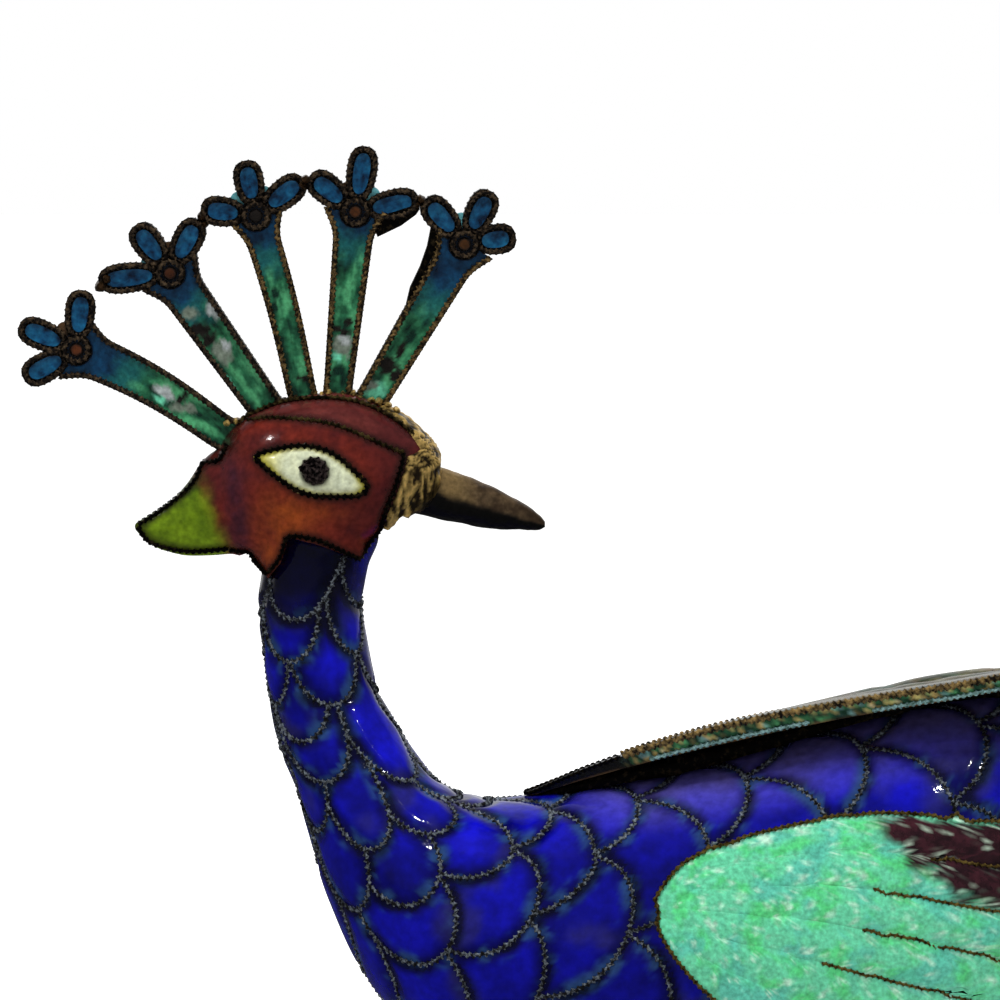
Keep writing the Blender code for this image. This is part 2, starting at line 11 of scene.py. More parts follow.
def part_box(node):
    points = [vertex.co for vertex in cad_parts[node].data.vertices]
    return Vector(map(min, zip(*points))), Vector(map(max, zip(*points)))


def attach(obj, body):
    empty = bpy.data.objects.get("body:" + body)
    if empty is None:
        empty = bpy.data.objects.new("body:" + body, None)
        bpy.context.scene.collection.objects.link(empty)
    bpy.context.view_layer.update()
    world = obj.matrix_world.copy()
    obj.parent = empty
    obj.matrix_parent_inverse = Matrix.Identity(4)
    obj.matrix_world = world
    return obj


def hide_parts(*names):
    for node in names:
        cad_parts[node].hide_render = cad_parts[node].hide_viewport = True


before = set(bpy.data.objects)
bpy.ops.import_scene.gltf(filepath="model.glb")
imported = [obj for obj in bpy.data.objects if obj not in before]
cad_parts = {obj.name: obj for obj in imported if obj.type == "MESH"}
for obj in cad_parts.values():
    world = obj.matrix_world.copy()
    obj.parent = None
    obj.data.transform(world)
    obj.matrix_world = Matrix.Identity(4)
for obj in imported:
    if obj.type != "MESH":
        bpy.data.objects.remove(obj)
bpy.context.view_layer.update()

# The place and the light. The bird stands on a wide pale floor under a pale sky, with a soft light overhead,
# another behind, and small lamps that leave the hard white glints on the glass. The camera looks almost
# level at its near side, as the photograph does, which shows the head and the fore part of the body.
MM = 0.001
BODY_LENGTH = 75 * MM
BELLY_HEIGHT = 30.7 * MM
PIXEL = BODY_LENGTH / 1000
PHOTO_ORIGIN = (900, 1150)
PHOTO_MIDDLE = 500
CAMERA_DISTANCE = 0.60
CAMERA_ELEVATION = math.radians(3)


def figure(x, z, y=0.0):
    """A point of the bird, from shares of BODY_LENGTH to metres."""
    return Vector((x * BODY_LENGTH, y * BODY_LENGTH, z * BODY_LENGTH + BELLY_HEIGHT))


def flat(px, py):
    """The point of the bird's middle plane that shows at a pixel of the photograph."""
    return figure((px - PHOTO_ORIGIN[0]) / 1000, (PHOTO_ORIGIN[1] - py) / 1000)


aim = flat(PHOTO_MIDDLE, PHOTO_MIDDLE)
look = Vector((0, math.cos(CAMERA_ELEVATION), -math.sin(CAMERA_ELEVATION)))
lift = Vector((0, math.sin(CAMERA_ELEVATION), math.cos(CAMERA_ELEVATION)))
camera_place = aim - CAMERA_DISTANCE * look
camera = bpy.data.objects.new("camera", bpy.data.cameras.new("camera"))
camera.data.angle = 2 * math.atan(PHOTO_MIDDLE * PIXEL / CAMERA_DISTANCE)
camera.data.clip_start = 0.01
camera.location = camera_place
camera.rotation_euler = (math.pi / 2 - CAMERA_ELEVATION, 0, 0)
bpy.context.scene.collection.objects.link(camera)
bpy.context.scene.camera = camera
bpy.context.scene.view_settings.view_transform = "Standard"


def seen_at(points):
    """The pixels at which the camera sees points, each first brought to the bird's near side."""
    near = np.array(points, float).reshape(-1, 3)
    near[:, 1] = -np.abs(near[:, 1])
    away = near - np.array(camera_place)
    scale = CAMERA_DISTANCE / (away @ np.array(look)) / PIXEL
    return np.stack([PHOTO_MIDDLE + away[:, 0] * scale, PHOTO_MIDDLE - away @ np.array(lift) * scale], axis=1)


def sight(px, py):
    """The direction in which the camera sees a pixel."""
    across, up = (px - PHOTO_MIDDLE) * PIXEL, (PHOTO_MIDDLE - py) * PIXEL
    return (look * CAMERA_DISTANCE + Vector((across, 0, 0)) + lift * up).normalized()


FLOOR_RADIUS = 6.0
FLOOR_COLOUR = (0.86, 0.86, 0.85, 1)
FLOOR_ROUGHNESS = 0.8
FLOOR_GLOW = 0.75
FLOOR_GLOW_START = 0.10
FLOOR_GLOW_END = 0.45
FLOOR_GLOSS = 0.06
WHITE = (1, 1, 1, 1)
SKY_LIGHT = 0.42
SKY_SEEN = 1.0
SKY_GLOSS = 0.10
WALL_GLOSS = 0.80
WALL_START = 0.35
WALL_END = 0.95
GLINT_DISTANCE = 0.70


def feed(tree, node, inputs):
    """Gives a shader node's inputs their values, or links them to the outputs that feed them."""
    for name, value in inputs.items():
        if isinstance(value, bpy.types.NodeSocket):
            tree.links.new(value, node.inputs[name])
        else:
            node.inputs[name].default_value = value


def add_node(tree, kind, inputs=None, **settings):
    """A new shader node with its settings and inputs."""
    node = tree.nodes.new(f"ShaderNode{kind}")
    for name, value in settings.items():
        setattr(node, name, value)
    feed(tree, node, inputs or {})
    return node


bpy.ops.object.select_all(action="DESELECT")
bpy.ops.mesh.primitive_circle_add(vertices=96, radius=FLOOR_RADIUS, fill_type="NGON")
floor = bpy.context.object
floor.name = "floor"
pale = bpy.data.materials.new("pale_floor")
pale.use_nodes = True
tree = pale.node_tree
rays = add_node(tree, "LightPath")
place = add_node(tree, "TexCoord")
far = add_node(tree, "VectorMath", {0: place.outputs["Object"]}, operation="LENGTH")
glow_range = {"From Min": FLOOR_GLOW_START, "From Max": FLOOR_GLOW_END, "To Min": 0.0, "To Max": FLOOR_GLOW}
glow = add_node(tree, "MapRange", {"Value": far.outputs["Value"], **glow_range})
seen = {0: glow.outputs["Result"], 1: rays.outputs["Is Camera Ray"]}
strength = add_node(tree, "Math", seen, operation="MULTIPLY").outputs["Value"]
matt = tree.nodes["Principled BSDF"]
feed(tree, matt, {"Base Color": FLOOR_COLOUR, "Roughness": FLOOR_ROUGHNESS})
feed(tree, matt, {"Emission Color": WHITE, "Emission Strength": strength})
mirrored = add_node(tree, "Emission", {"Strength": FLOOR_GLOSS})
mix = {0: rays.outputs["Is Glossy Ray"], 1: matt.outputs[0], 2: mirrored.outputs[0]}
feed(tree, tree.nodes["Material Output"], {"Surface": add_node(tree, "MixShader", mix).outputs[0]})
floor.data.materials.append(pale)

sky = bpy.data.worlds.new("pale_sky")
sky.use_nodes = True
bpy.context.scene.world = sky
tree = sky.node_tree
rays = add_node(tree, "LightPath")
place = add_node(tree, "TexCoord")
way = add_node(tree, "SeparateXYZ", {0: place.outputs["Generated"]})
wall_range = {"From Min": WALL_START, "From Max": WALL_END, "To Min": SKY_GLOSS, "To Max": WALL_GLOSS}
wall = add_node(tree, "MapRange", {"Value": way.outputs["Y"], **wall_range})
sky_last = tree.nodes["Background"]
feed(tree, sky_last, {"Color": WHITE, "Strength": SKY_LIGHT})
for ray, strength in (("Is Glossy Ray", wall.outputs["Result"]), ("Is Camera Ray", SKY_SEEN)):
    shade = add_node(tree, "Background", {"Color": WHITE, "Strength": strength})
    mix = {0: rays.outputs[ray], 1: sky_last.outputs[0], 2: shade.outputs[0]}
    sky_last = add_node(tree, "MixShader", mix)
feed(tree, tree.nodes["World Output"], {"Surface": sky_last.outputs[0]})


def soft_light(name, place, size, watts, glints=True, pieces=()):
    """A square light that faces the bird, and lights only some pieces where any are given."""
    light = bpy.data.objects.new(name, bpy.data.lights.new(name, "AREA"))
    light.data.size = size
    light.data.energy = watts
    light.location = place
    light.rotation_euler = (aim - Vector(place)).to_track_quat("-Z", "Y").to_euler()
    light.visible_glossy = glints
    light.visible_camera = False
    bpy.context.scene.collection.objects.link(light)
    if pieces:
        lit = bpy.data.collections.new(name)
        for piece in pieces:
            lit.objects.link(piece)
        light.light_linking.receiver_collection = lit


soft_light("overhead_light", (-0.10, -0.25, 0.90), size=0.40, watts=9.0, glints=False)
soft_light("back_light", (0.25, 0.60, 0.65), size=0.20, watts=3.0, glints=False)


def glint_light(name, pieces, surface, px, py, size, watts):
    """A small lamp that stands where the glass mirrors it at a pixel of the photograph."""
    way = sight(px, py)
    hit, out = surface.ray_cast(camera_place, way)[:2]
    mirrored = way - 2 * way.dot(out) * out
    soft_light(name, hit + mirrored * GLINT_DISTANCE, size, watts, pieces=pieces)

# Body: neck, breast and belly are one raised copper shell under cobalt-blue glass. Twisted wires, soldered on
# before the glass was fused, divide it into overlapping scales, and the glass sinks a little in each scale.
# Sections run from the top of the neck to the rump: x and z on the back, x and z on the breast, half width.
BODY_SECTIONS = (
    (-0.552, 0.652, -0.622, 0.642, 0.030),
    (-0.524, 0.618, -0.632, 0.610, 0.046),
    (-0.534, 0.584, -0.636, 0.578, 0.049),
    (-0.539, 0.548, -0.640, 0.546, 0.051),
    (-0.534, 0.505, -0.636, 0.500, 0.052),
    (-0.523, 0.458, -0.629, 0.450, 0.054),
    (-0.506, 0.428, -0.620, 0.405, 0.060),
    (-0.487, 0.397, -0.604, 0.365, 0.068),
    (-0.460, 0.366, -0.591, 0.320, 0.080),
    (-0.422, 0.351, -0.570, 0.250, 0.096),
    (-0.370, 0.352, -0.528, 0.165, 0.114),
    (-0.300, 0.366, -0.450, 0.082, 0.132),
    (-0.200, 0.385, -0.320, 0.022, 0.146),
    (-0.090, 0.417, -0.160, 0.000, 0.153),
    (0.026, 0.447, 0.000, 0.008, 0.150),
    (0.130, 0.460, 0.140, 0.050, 0.134),
    (0.240, 0.466, 0.260, 0.114, 0.110),
    (0.340, 0.460, 0.370, 0.195, 0.082),
    (0.425, 0.438, 0.460, 0.280, 0.052),
    (0.482, 0.405, 0.506, 0.350, 0.022),
)
SKIN_STEP = 0.33 * MM
SKIN_SIDES = 220
SKIN_NUDGE = 0.2 * MM
MENISCUS_DEPTH = 0.16 * MM
MENISCUS_REACH = 1.1 * MM
WIRE_RADIUS = 0.33 * MM
WIRE_TURN = 0.95 * MM
WIRE_LIFT = 0.10 * MM
WIRE_TREE_STEP = 0.15 * MM


def along(rows, t):
    """The row of values at t, 0 at the first row and 1 at the last, on a smooth curve through all of them."""
    rows = np.asarray(rows, float)
    place = min(max(t, 0.0), 1.0) * (len(rows) - 1)
    i = min(int(place), len(rows) - 2)
    f = place - i
    before, start = rows[max(i - 1, 0)], rows[i]
    end, after = rows[i + 1], rows[min(i + 2, len(rows) - 1)]
    linear = (end - before) * f
    square = (2 * before - 5 * start + 4 * end - after) * f**2
    cube = (3 * start - before - 3 * end + after) * f**3
    return 0.5 * (2 * start + linear + square + cube)


sections = np.array([along(BODY_SECTIONS, t) for t in np.linspace(0, 1, 800)]) * BODY_LENGTH
sections[:, (1, 3)] += BELLY_HEIGHT
spine = (sections[:, 0:2] + sections[:, 2:4]) / 2
spine_s = np.concatenate(([0], np.cumsum(np.linalg.norm(np.diff(spine, axis=0), axis=1))))


def skin_points(s, degrees):
    """Points of the body's skin, s along the middle line and turned from the back, minus on the near side."""
    back_x, back_z, breast_x, breast_z, half_width = (np.interp(s, spine_s, sections[:, k]) for k in range(5))
    turn = np.radians(degrees)
    x = (back_x + breast_x) / 2 + (back_x - breast_x) / 2 * np.cos(turn)
    z = (back_z + breast_z) / 2 + (back_z - breast_z) / 2 * np.cos(turn)
    return np.stack([x, half_width * np.sin(turn), z], axis=-1)


def skin_normals(s, degrees):
    """The outward directions at points of the body's skin."""
    ahead = skin_points(s + SKIN_NUDGE, degrees) - skin_points(s - SKIN_NUDGE, degrees)
    aside = skin_points(s, degrees + 1) - skin_points(s, degrees - 1)
    out = np.cross(aside, ahead)
    return out / np.linalg.norm(out, axis=-1, keepdims=True)


# Neck scales, laid like roof tiles from the head down: tip along the middle line in mm, angle of the
# middle, half width in degrees and length in mm. Those off the middle plane have a twin on the far side.
NECK_SCALES = (
    (7.9, -15, 45, 4.5),
    (8.7, -106, 46, 5.2),
    (8.4, 180, 40, 4.5),
    (11.3, 180, 20, 4.5),
    (11.5, -39, 31, 4.3),
    (11.8, -119, 40, 4.5),
    (14.6, 0, 36, 4.9),
    (15.0, -155, 34, 4.5),
    (15.2, -80, 42, 4.9),
    (17.6, -122, 40, 4.5),
    (18.0, 180, 18, 4.5),
    (18.6, 0, 15, 4.5),
    (20.8, -115, 38, 4.5),
    (21.5, 180, 18, 4.5),
    (22.5, -42, 38, 6.5),
    (23.5, 0, 14, 4.5),
    (24.0, -147, 28, 4.5),
    (25.8, 180, 18, 4.5),
    (26.3, -100, 27, 5.4),
    (26.2, -14, 26, 5.0),
    (28.1, -54, 26, 5.2),
    (28.9, -134, 27, 5.0),
    (31.1, -94, 28, 5.6),
    (31.8, 180, 28, 5.0),
)
ROW_TIPS = (
    28.4, 32.3, 35.3, 39.7, 44.6, 49.2, 54.5, 59.5, 64.7, 69.9, 74.7, 79.0, 83.0, 86.8, 90.2, 93.2, 96.0,
)
FIRST_ROW_STEP = 3.9
ROW_OVERLAP = 1.6
ROW_LEAN = 0.101
ROW_LEAN_LIMIT = 60
EVEN_ROW = ((0, 28), (-55, 28), (-109, 28), (-160, 27))
ODD_ROW = ((-28, 28), (-82, 28), (-136, 28), (180, 28))
ROW_DEPTH = 1.15

scales = [(tip, angle, half, length, 0.0) for tip, angle, half, length in NECK_SCALES]
for number, tip in enumerate(ROW_TIPS):
    step = ROW_TIPS[number] - ROW_TIPS[number - 1] if number else FIRST_ROW_STEP
    for angle, half in ODD_ROW if number % 2 else EVEN_ROW:
        scales.append((tip, angle, half, ROW_DEPTH * step + ROW_OVERLAP, ROW_LEAN))
scales = [
    (tip, turn, half, length, leans)
    for tip, angle, half, length, leans in scales
    for turn in ((angle,) if angle in (0, 180) else (angle, -angle))
]


def scale_reach(scale, degrees):
    """How far along the body, in mm, a scale reaches at each angle, and below zero beside the scale."""
    tip, angle, half, length, leans = scale
    across = ((degrees - angle + 180) % 360 - 180) / half
    folded = np.minimum(np.abs((degrees + 180) % 360 - 180), ROW_LEAN_LIMIT)
    inside = np.maximum(1 - across * across, 0)
    return np.where(np.abs(across) < 1, tip + leans * folded - length * (1 - np.sqrt(inside)), -1.0)


SCALE_STEPS = 90
SCALE_ARM_STEPS = 30
SCALE_ARM = 9.0
NARROW_SCALE = 20
NARROW_ARM = 2.5
SCALE_START = 3.5
NECK_END = 36.0


def scale_paths():
    """The seen stretches of each scale's edge, each as its places along and around the body."""
    paths = []
    steps = np.arange(-SCALE_STEPS - SCALE_ARM_STEPS, SCALE_STEPS + SCALE_ARM_STEPS + 1)
    across = np.sin(np.clip(steps / SCALE_STEPS, -1, 1) * math.pi / 2)
    past = np.maximum(0, np.abs(steps) - SCALE_STEPS) / SCALE_ARM_STEPS
    for number, scale in enumerate(scales):
        tip, angle, half, length, leans = scale
        degrees = angle + across * half
        folded = np.minimum(np.abs((degrees + 180) % 360 - 180), ROW_LEAN_LIMIT)
        s = tip + leans * folded - length * (1 - np.sqrt(1 - across * across))
        s = s - past * (SCALE_ARM if half > NARROW_SCALE else NARROW_ARM)
        seen = s > SCALE_START
        for earlier in scales[:number]:
            seen &= ~(s + 0.01 < scale_reach(earlier, degrees))
        run = []
        for i in range(len(steps)):
            if seen[i]:
                run.append((s[i], degrees[i]))
            if run and (not seen[i] or i == len(steps) - 1):
                if len(run) > 5:
                    paths.append(np.array(run))
                run = []
    return paths


def even_path(points, step):
    """The same path with its points a step apart, and the values beside the points carried along."""
    points = np.asarray(points, float)
    far = np.concatenate(([0], np.cumsum(np.linalg.norm(np.diff(points[:, :3], axis=0), axis=1))))
    wanted = np.linspace(0, far[-1], max(3, int(round(far[-1] / step)) + 1))
    return np.stack([np.interp(wanted, far, points[:, k]) for k in range(points.shape[1])], axis=1)


def new_piece(name, corners, faces):
    """A new mesh object with smooth faces."""
    mesh = bpy.data.meshes.new(name)
    mesh.from_pydata([tuple(c) for c in corners], [], faces)
    mesh.update()
    mesh.shade_smooth()
    made = bpy.data.objects.new(name, mesh)
    bpy.context.scene.collection.objects.link(made)
    return made


def outwards(made):
    """Turns a closed mesh's faces outwards."""
    bm = bmesh.new()
    bm.from_mesh(made.data)
    bmesh.ops.recalc_face_normals(bm, faces=bm.faces)
    bm.to_mesh(made.data)
    bm.free()
    made.data.shade_smooth()


def ring_faces(rings, sides):
    """The faces of a closed skin over rings of points, with a cap at both ends."""
    faces = [tuple(range(sides))]
    for r in range(rings - 1):
        a = r * sides
        for k in range(sides):
            j = (k + 1) % sides
            faces.append((a + k, a + sides + k, a + sides + j, a + j))
    last = (rings - 1) * sides
    faces.append(tuple(range(last + sides - 1, last - 1, -1)))
    return faces


WIRE_SIDES = 6
WIRE_STEPS = 4
STRAND_SHARE = 0.68


def twisted_wires(name, paths, radius=WIRE_RADIUS, turn=WIRE_TURN, closed=False):
    """Two strands twisted together along each path of points and outward directions, as one mesh."""
    corners, faces, start = [], [], 0
    around = np.arange(WIRE_SIDES) * 2 * math.pi / WIRE_SIDES
    lobes = radius * (STRAND_SHARE + (1 - STRAND_SHARE) * np.cos(2 * around))
    for path in paths:
        even = even_path(path, turn / 2 / WIRE_STEPS)
        points, out = even[:, :3], even[:, 3:6]
        ahead = np.gradient(points, axis=0)
        if closed:
            ahead[0] = ahead[-1] = points[1] - points[-2]
        ahead /= np.linalg.norm(ahead, axis=1)[:, None]
        out = out - ahead * np.sum(out * ahead, axis=1)[:, None]
        out /= np.maximum(np.linalg.norm(out, axis=1)[:, None], 1e-9)
        aside = np.cross(ahead, out)
        gone = np.concatenate(([0], np.cumsum(np.linalg.norm(np.diff(points, axis=0), axis=1))))
        if closed:
            gone *= max(1, round(gone[-1] / turn * 2)) * turn / 2 / gone[-1]
        turned = around[None, :] + (gone * 2 * math.pi / turn)[:, None]
        ring = points[:, None, :] + lobes[None, :, None] * (
            np.cos(turned)[:, :, None] * out[:, None, :] + np.sin(turned)[:, :, None] * aside[:, None, :]
        )
        corners.append(ring.reshape(-1, 3))
        faces += [tuple(start + i for i in face) for face in ring_faces(len(points), WIRE_SIDES)]
        start += len(points) * WIRE_SIDES
    return new_piece(name, np.concatenate(corners), faces)


def stain(place, size, seed=0.0):
    """Smooth noise from 0 to 1 over patches of a size, the same on every run."""
    spot = Vector(place) / size + Vector((seed * 7.3, seed * 3.1, seed * 5.7))
    return 0.5 + 0.5 * noise.fractal(spot, 0.8, 2.0, 3)


def blend(a, b, share):
    """A mix of two colours, all a at share 0 and all b at share 1."""
    share = min(max(share, 0.0), 1.0)
    return tuple(a[k] + (b[k] - a[k]) * share for k in range(3))


def smooth_step(low, high, value):
    """A smooth change from 0 at low to 1 at high. Low may be the larger one."""
    t = min(max((value - low) / (high - low), 0.0), 1.0)
    return t * t * (3 - 2 * t)


def paint(made, colours):
    """Gives every point of a piece its colour, as the attribute that its material reads."""
    layer = made.data.color_attributes.new("tint", "FLOAT_COLOR", "POINT")
    values = np.ones((len(made.data.vertices), 4))
    values[:, :3] = colours
    layer.data.foreach_set("color", values.ravel())


TINT_GRAIN = 4
TINT_LOW = 0.30
TINT_HIGH = 0.70
RIPPLE_GRAIN = 3
RIPPLE_HEIGHT = 0.2 * MM
PATINA_GRAIN = 5
PATINA_ROUGHNESS = 0.65
PATINA_BELOW = 0.10
PATINA_ABOVE = 0.12
PATINA_HEIGHT = 0.15 * MM
OLD_METAL_ROUGHNESS = 0.42
OLD_METAL_DENTS = 0.35


def new_finish(name, roughness, metallic):
    """A new material, with its tree, its shader and its object coordinates."""
    made = bpy.data.materials.new(name)
    made.use_nodes = True
    tree = made.node_tree
    shader = tree.nodes["Principled BSDF"]
    feed(tree, shader, {"Roughness": roughness, "Metallic": metallic})
    return made, tree, shader, add_node(tree, "TexCoord").outputs["Object"]


def dented(tree, shader, height, strength, distance):
    """Gives a shader its fine relief."""
    bump = add_node(tree, "Bump", {"Strength": strength, "Distance": distance, "Height": height})
    feed(tree, shader, {"Normal": bump.outputs["Normal"]})


def painted_material(name, roughness, speckle, speckle_size, ripple, ripple_size, metallic=0.0):
    """A surface that shows its painted tint, mottled by fine noise, over a rippled or grainy relief."""
    made, tree, shader, place = new_finish(name, roughness, metallic)
    tint = add_node(tree, "Attribute", attribute_name="tint")
    mottle = add_node(tree, "TexNoise", {"Scale": 1 / speckle_size, "Detail": TINT_GRAIN, "Vector": place})
    shade_range = {"From Min": TINT_LOW, "From Max": TINT_HIGH, "To Min": 1 - speckle, "To Max": 1 + speckle}
    shade = add_node(tree, "MapRange", {"Value": mottle.outputs["Fac"], **shade_range})
    both = {0: tint.outputs["Color"], 1: shade.outputs["Result"]}
    mixed = add_node(tree, "VectorMath", both, operation="MULTIPLY")
    feed(tree, shader, {"Base Color": mixed.outputs["Vector"]})
    waves = add_node(tree, "TexNoise", {"Scale": 1 / ripple_size, "Detail": RIPPLE_GRAIN, "Vector": place})
    dented(tree, shader, waves.outputs["Fac"], ripple, RIPPLE_HEIGHT)
    return made


def old_metal(name, dark, bright, patch, cut, metallic=0.85):
    """Tarnished metal: dark patina with brighter metal rubbed through, and a dented, grainy surface."""
    made, tree, shader, place = new_finish(name, OLD_METAL_ROUGHNESS, metallic)
    grain = {"Scale": 1 / patch, "Detail": PATINA_GRAIN, "Roughness": PATINA_ROUGHNESS, "Vector": place}
    patina = add_node(tree, "TexNoise", grain).outputs["Fac"]
    ramp = add_node(tree, "ValToRGB", {"Fac": patina})
    stops = ((cut - PATINA_BELOW, dark), (cut + PATINA_ABOVE, bright))
    for element, (position, colour) in zip(ramp.color_ramp.elements, stops):
        element.position = position
        element.color = (*colour, 1)
    feed(tree, shader, {"Base Color": ramp.outputs["Color"]})
    dented(tree, shader, patina, OLD_METAL_DENTS, PATINA_HEIGHT)
    return made


def settle(made, node, finish):
    """Finishes a piece: its material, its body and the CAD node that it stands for."""
    made.data.materials.append(finish)
    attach(made, "root")
    if node:
        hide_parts(node)


body_runs = scale_paths()
body_wire_paths = []
for run in body_runs:
    s, degrees = run[:, 0] * MM, run[:, 1]
    out = skin_normals(s, degrees)
    body_wire_paths.append(np.hstack([skin_points(s, degrees) + out * WIRE_LIFT, out]))
TARNISH = (0.008, 0.007, 0.008)
PEWTER = (0.36, 0.42, 0.48)
grey_wire = old_metal("grey_wire", TARNISH, PEWTER, patch=0.28 * MM, metallic=0.45, cut=0.575)
for name, on_neck in (("neck_wires", True), ("body_wires", False)):
    chosen = [(run[:, 0].mean() < NECK_END) == on_neck for run in body_runs]
    paths = [path for path, wanted in zip(body_wire_paths, chosen) if wanted]
    settle(twisted_wires(name, paths), "body", grey_wire)


def wire_tree(paths):
    """A search tree over the points of some wires."""
    points = [Vector(p[:3]) for path in paths for p in even_path(path, WIRE_TREE_STEP)]
    tree = KDTree(len(points))
    for number, point in enumerate(points):
        tree.insert(point, number)
    tree.balance()
    return tree


COBALT_DEEP_AND_SHADE = (0.0010, 0.0010, 0.045)
COBALT = (0.0030, 0.0030, 0.260)
COBALT_HAZE = (0.020, 0.060, 0.150)
COBALT_DUSK = (0.016, 0.015, 0.080)
COBALT_SHADOW = (0.0004, 0.0004, 0.005)
COBALT_SHEEN = (0.095, 0.080, 0.240)
COBALT_BRIGHT = (0.0040, 0.0040, 0.430)
CLEAR_SPOTS = (
    (354, 628, 12), (334, 664, 17), (352, 722, 16), (386, 756, 20), (333, 812, 14), (398, 832, 14),
    (618, 812, 26), (546, 826, 20), (694, 800, 24), (760, 782, 24), (842, 778, 26), (905, 752, 26),
    (905, 795, 20), (470, 838, 18),
)
CLEAR_SHARE = 0.75
SHEEN_SHARE = 0.75
SHEEN_HALF_ANGLE = 48
SHEEN_SOFT_ANGLE = 28
SHEEN_START = 36 * MM
SHEEN_SOFT_LENGTH = 6 * MM
HEAD_SHADOW_SHARE = 0.96
HEAD_SHADOW_END = 11.0 * MM
HEAD_SHADOW_LENGTH = 4.5 * MM
HEAD_SHADOW_ANGLE = 25
HEAD_SHADOW_SOFT_ANGLE = 30


def cobalt_tint(place, edge, cell, own):
    """Blue glass, clear in the middle of a scale, hazy along its edge, with painted shade next to the wire
    and painted shadow under the scale before it.
    """
    depth = stain(place, 3 * MM, 1) * 0.8 + 0.5 * ((cell * 0.618) % 1)
    # Deeper glass and painted shade darken the blue next to the wires.
    colour = blend(COBALT_DEEP_AND_SHADE, COBALT, depth * smooth_step(0.1 * MM, 1.3 * MM, edge))
    haze = smooth_step(1.2 * MM, 0.4 * MM, edge) * smooth_step(0.50, 0.70, stain(place, 1.6 * MM, 2))
    colour = blend(colour, COBALT_HAZE, 0.65 * haze)
    colour = blend(colour, COBALT_DUSK, smooth_step(0.60, 0.85, stain(place, 5 * MM, 3)) * 0.6)
    # Painted shadow: the scale that lies over this one darkens it just beyond its wire.
    under = smooth_step(1.05 * MM, 0.40 * MM, edge) * smooth_step(0.2 * MM, 0.6 * MM, own - 1.4 * edge)
    return blend(colour, COBALT_SHADOW, 0.85 * under * smooth_step(0.30, 0.50, stain(place, 2.5 * MM, 6)))


ring_count = int(spine_s[-1] / SKIN_STEP)
skin_s = np.repeat(np.linspace(0, spine_s[-1], ring_count + 1), SKIN_SIDES)
skin_degrees = np.tile(360 * np.arange(SKIN_SIDES) / SKIN_SIDES - 180, ring_count + 1)
skin, skin_out = skin_points(skin_s, skin_degrees), skin_normals(skin_s, skin_degrees)
skin_cell, skin_own = np.zeros(len(skin)), np.zeros(len(skin))
for number in reversed(range(len(scales))):
    own = scale_reach(scales[number], skin_degrees) * MM - skin_s
    skin_cell[own > 0] = number
    skin_own[own > 0] = own[own > 0]
near_wires = wire_tree(body_wire_paths)
skin_edge = np.array([near_wires.find(p)[2] for p in skin])
sunk = np.clip(skin_edge / MENISCUS_REACH, 0, 1)
skin_corners = skin - skin_out * (MENISCUS_DEPTH * sunk * sunk * (3 - 2 * sunk))[:, None]
skin_colours = np.array([cobalt_tint(*point) for point in zip(skin, skin_edge, skin_cell, skin_own)])
skin_pixels = seen_at(skin)


def lay_over(share, shade):
    """Lays a shade over the skin's colours, by a share for each point."""
    skin_colours[:] += share[:, None] * (np.array(shade) - skin_colours)


for px, py, reach in CLEAR_SPOTS:
    away = (((skin_pixels - (px, py)) / reach) ** 2).sum(axis=1)
    lay_over(CLEAR_SHARE * np.exp(-away) * np.clip(skin_edge / MM - 0.3, 0, 1), COBALT_BRIGHT)
# Painted reflection: a lavender sheen along the top of the back, where the glass would mirror the pale sky.
painted_sheen = SHEEN_SHARE * np.clip((SHEEN_HALF_ANGLE - np.abs(skin_degrees)) / SHEEN_SOFT_ANGLE, 0, 1)
painted_sheen *= np.clip((skin_s - SHEEN_START) / SHEEN_SOFT_LENGTH, 0, 1)
lay_over(painted_sheen * np.clip(skin_edge / MM - 0.1, 0, 1), COBALT_SHEEN)
# Painted shadow: the top of the neck under the head, on all but its back, darkened almost to black.
painted_head_shadow = HEAD_SHADOW_SHARE * np.clip((HEAD_SHADOW_END - skin_s) / HEAD_SHADOW_LENGTH, 0, 1)
painted_head_shadow *= np.clip((np.abs(skin_degrees) - HEAD_SHADOW_ANGLE) / HEAD_SHADOW_SOFT_ANGLE, 0, 1)
lay_over(painted_head_shadow, COBALT_SHADOW)


body_shell = new_piece("body_shell", skin_corners, ring_faces(ring_count + 1, SKIN_SIDES))
outwards(body_shell)
paint(body_shell, skin_colours)
cobalt_glass = painted_material(
    "cobalt_glass", roughness=0.06, speckle=0.22, speckle_size=0.7 * MM, ripple=0.16, ripple_size=1.0 * MM
)
settle(body_shell, "body", cobalt_glass)
body_surface = BVHTree.FromObject(body_shell, bpy.context.evaluated_depsgraph_get())
glint_light("neck_lamp", [body_shell], body_surface, 352, 702, size=0.022, watts=0.6)
glint_light("saddle_lamp", [body_shell], body_surface, 430, 842, size=0.020, watts=0.5)

# Thighs: feathered upper legs, part of the same blue shell, that narrow down to the bare brass legs.
# Each is ringed by small blue scales drawn with the same wire.
HIP = (-0.060, 0.090)
HOCK_X = 0.012
THIGH_END_DROP = 0.062
THIGH_RADIUS = 0.062
THIGH_END_RADIUS = 0.027
LEG_SPACING = 11.6 * MM
THIGH_SETTLE = 0.45 * MM
THIGH_RINGS = 30
THIGH_SIDES = 48
THIGH_TAPER = 0.85
THIGH_FLATNESS = 0.8
THIGH_ROUND_START = 0.88
THIGH_ROUND_DEPTH = 0.6
THIGH_WIRE_LEVELS = (0.45, 0.70, 0.93)
THIGH_WIRE_STEPS = 96
THIGH_WIRE_WAVE = 0.10


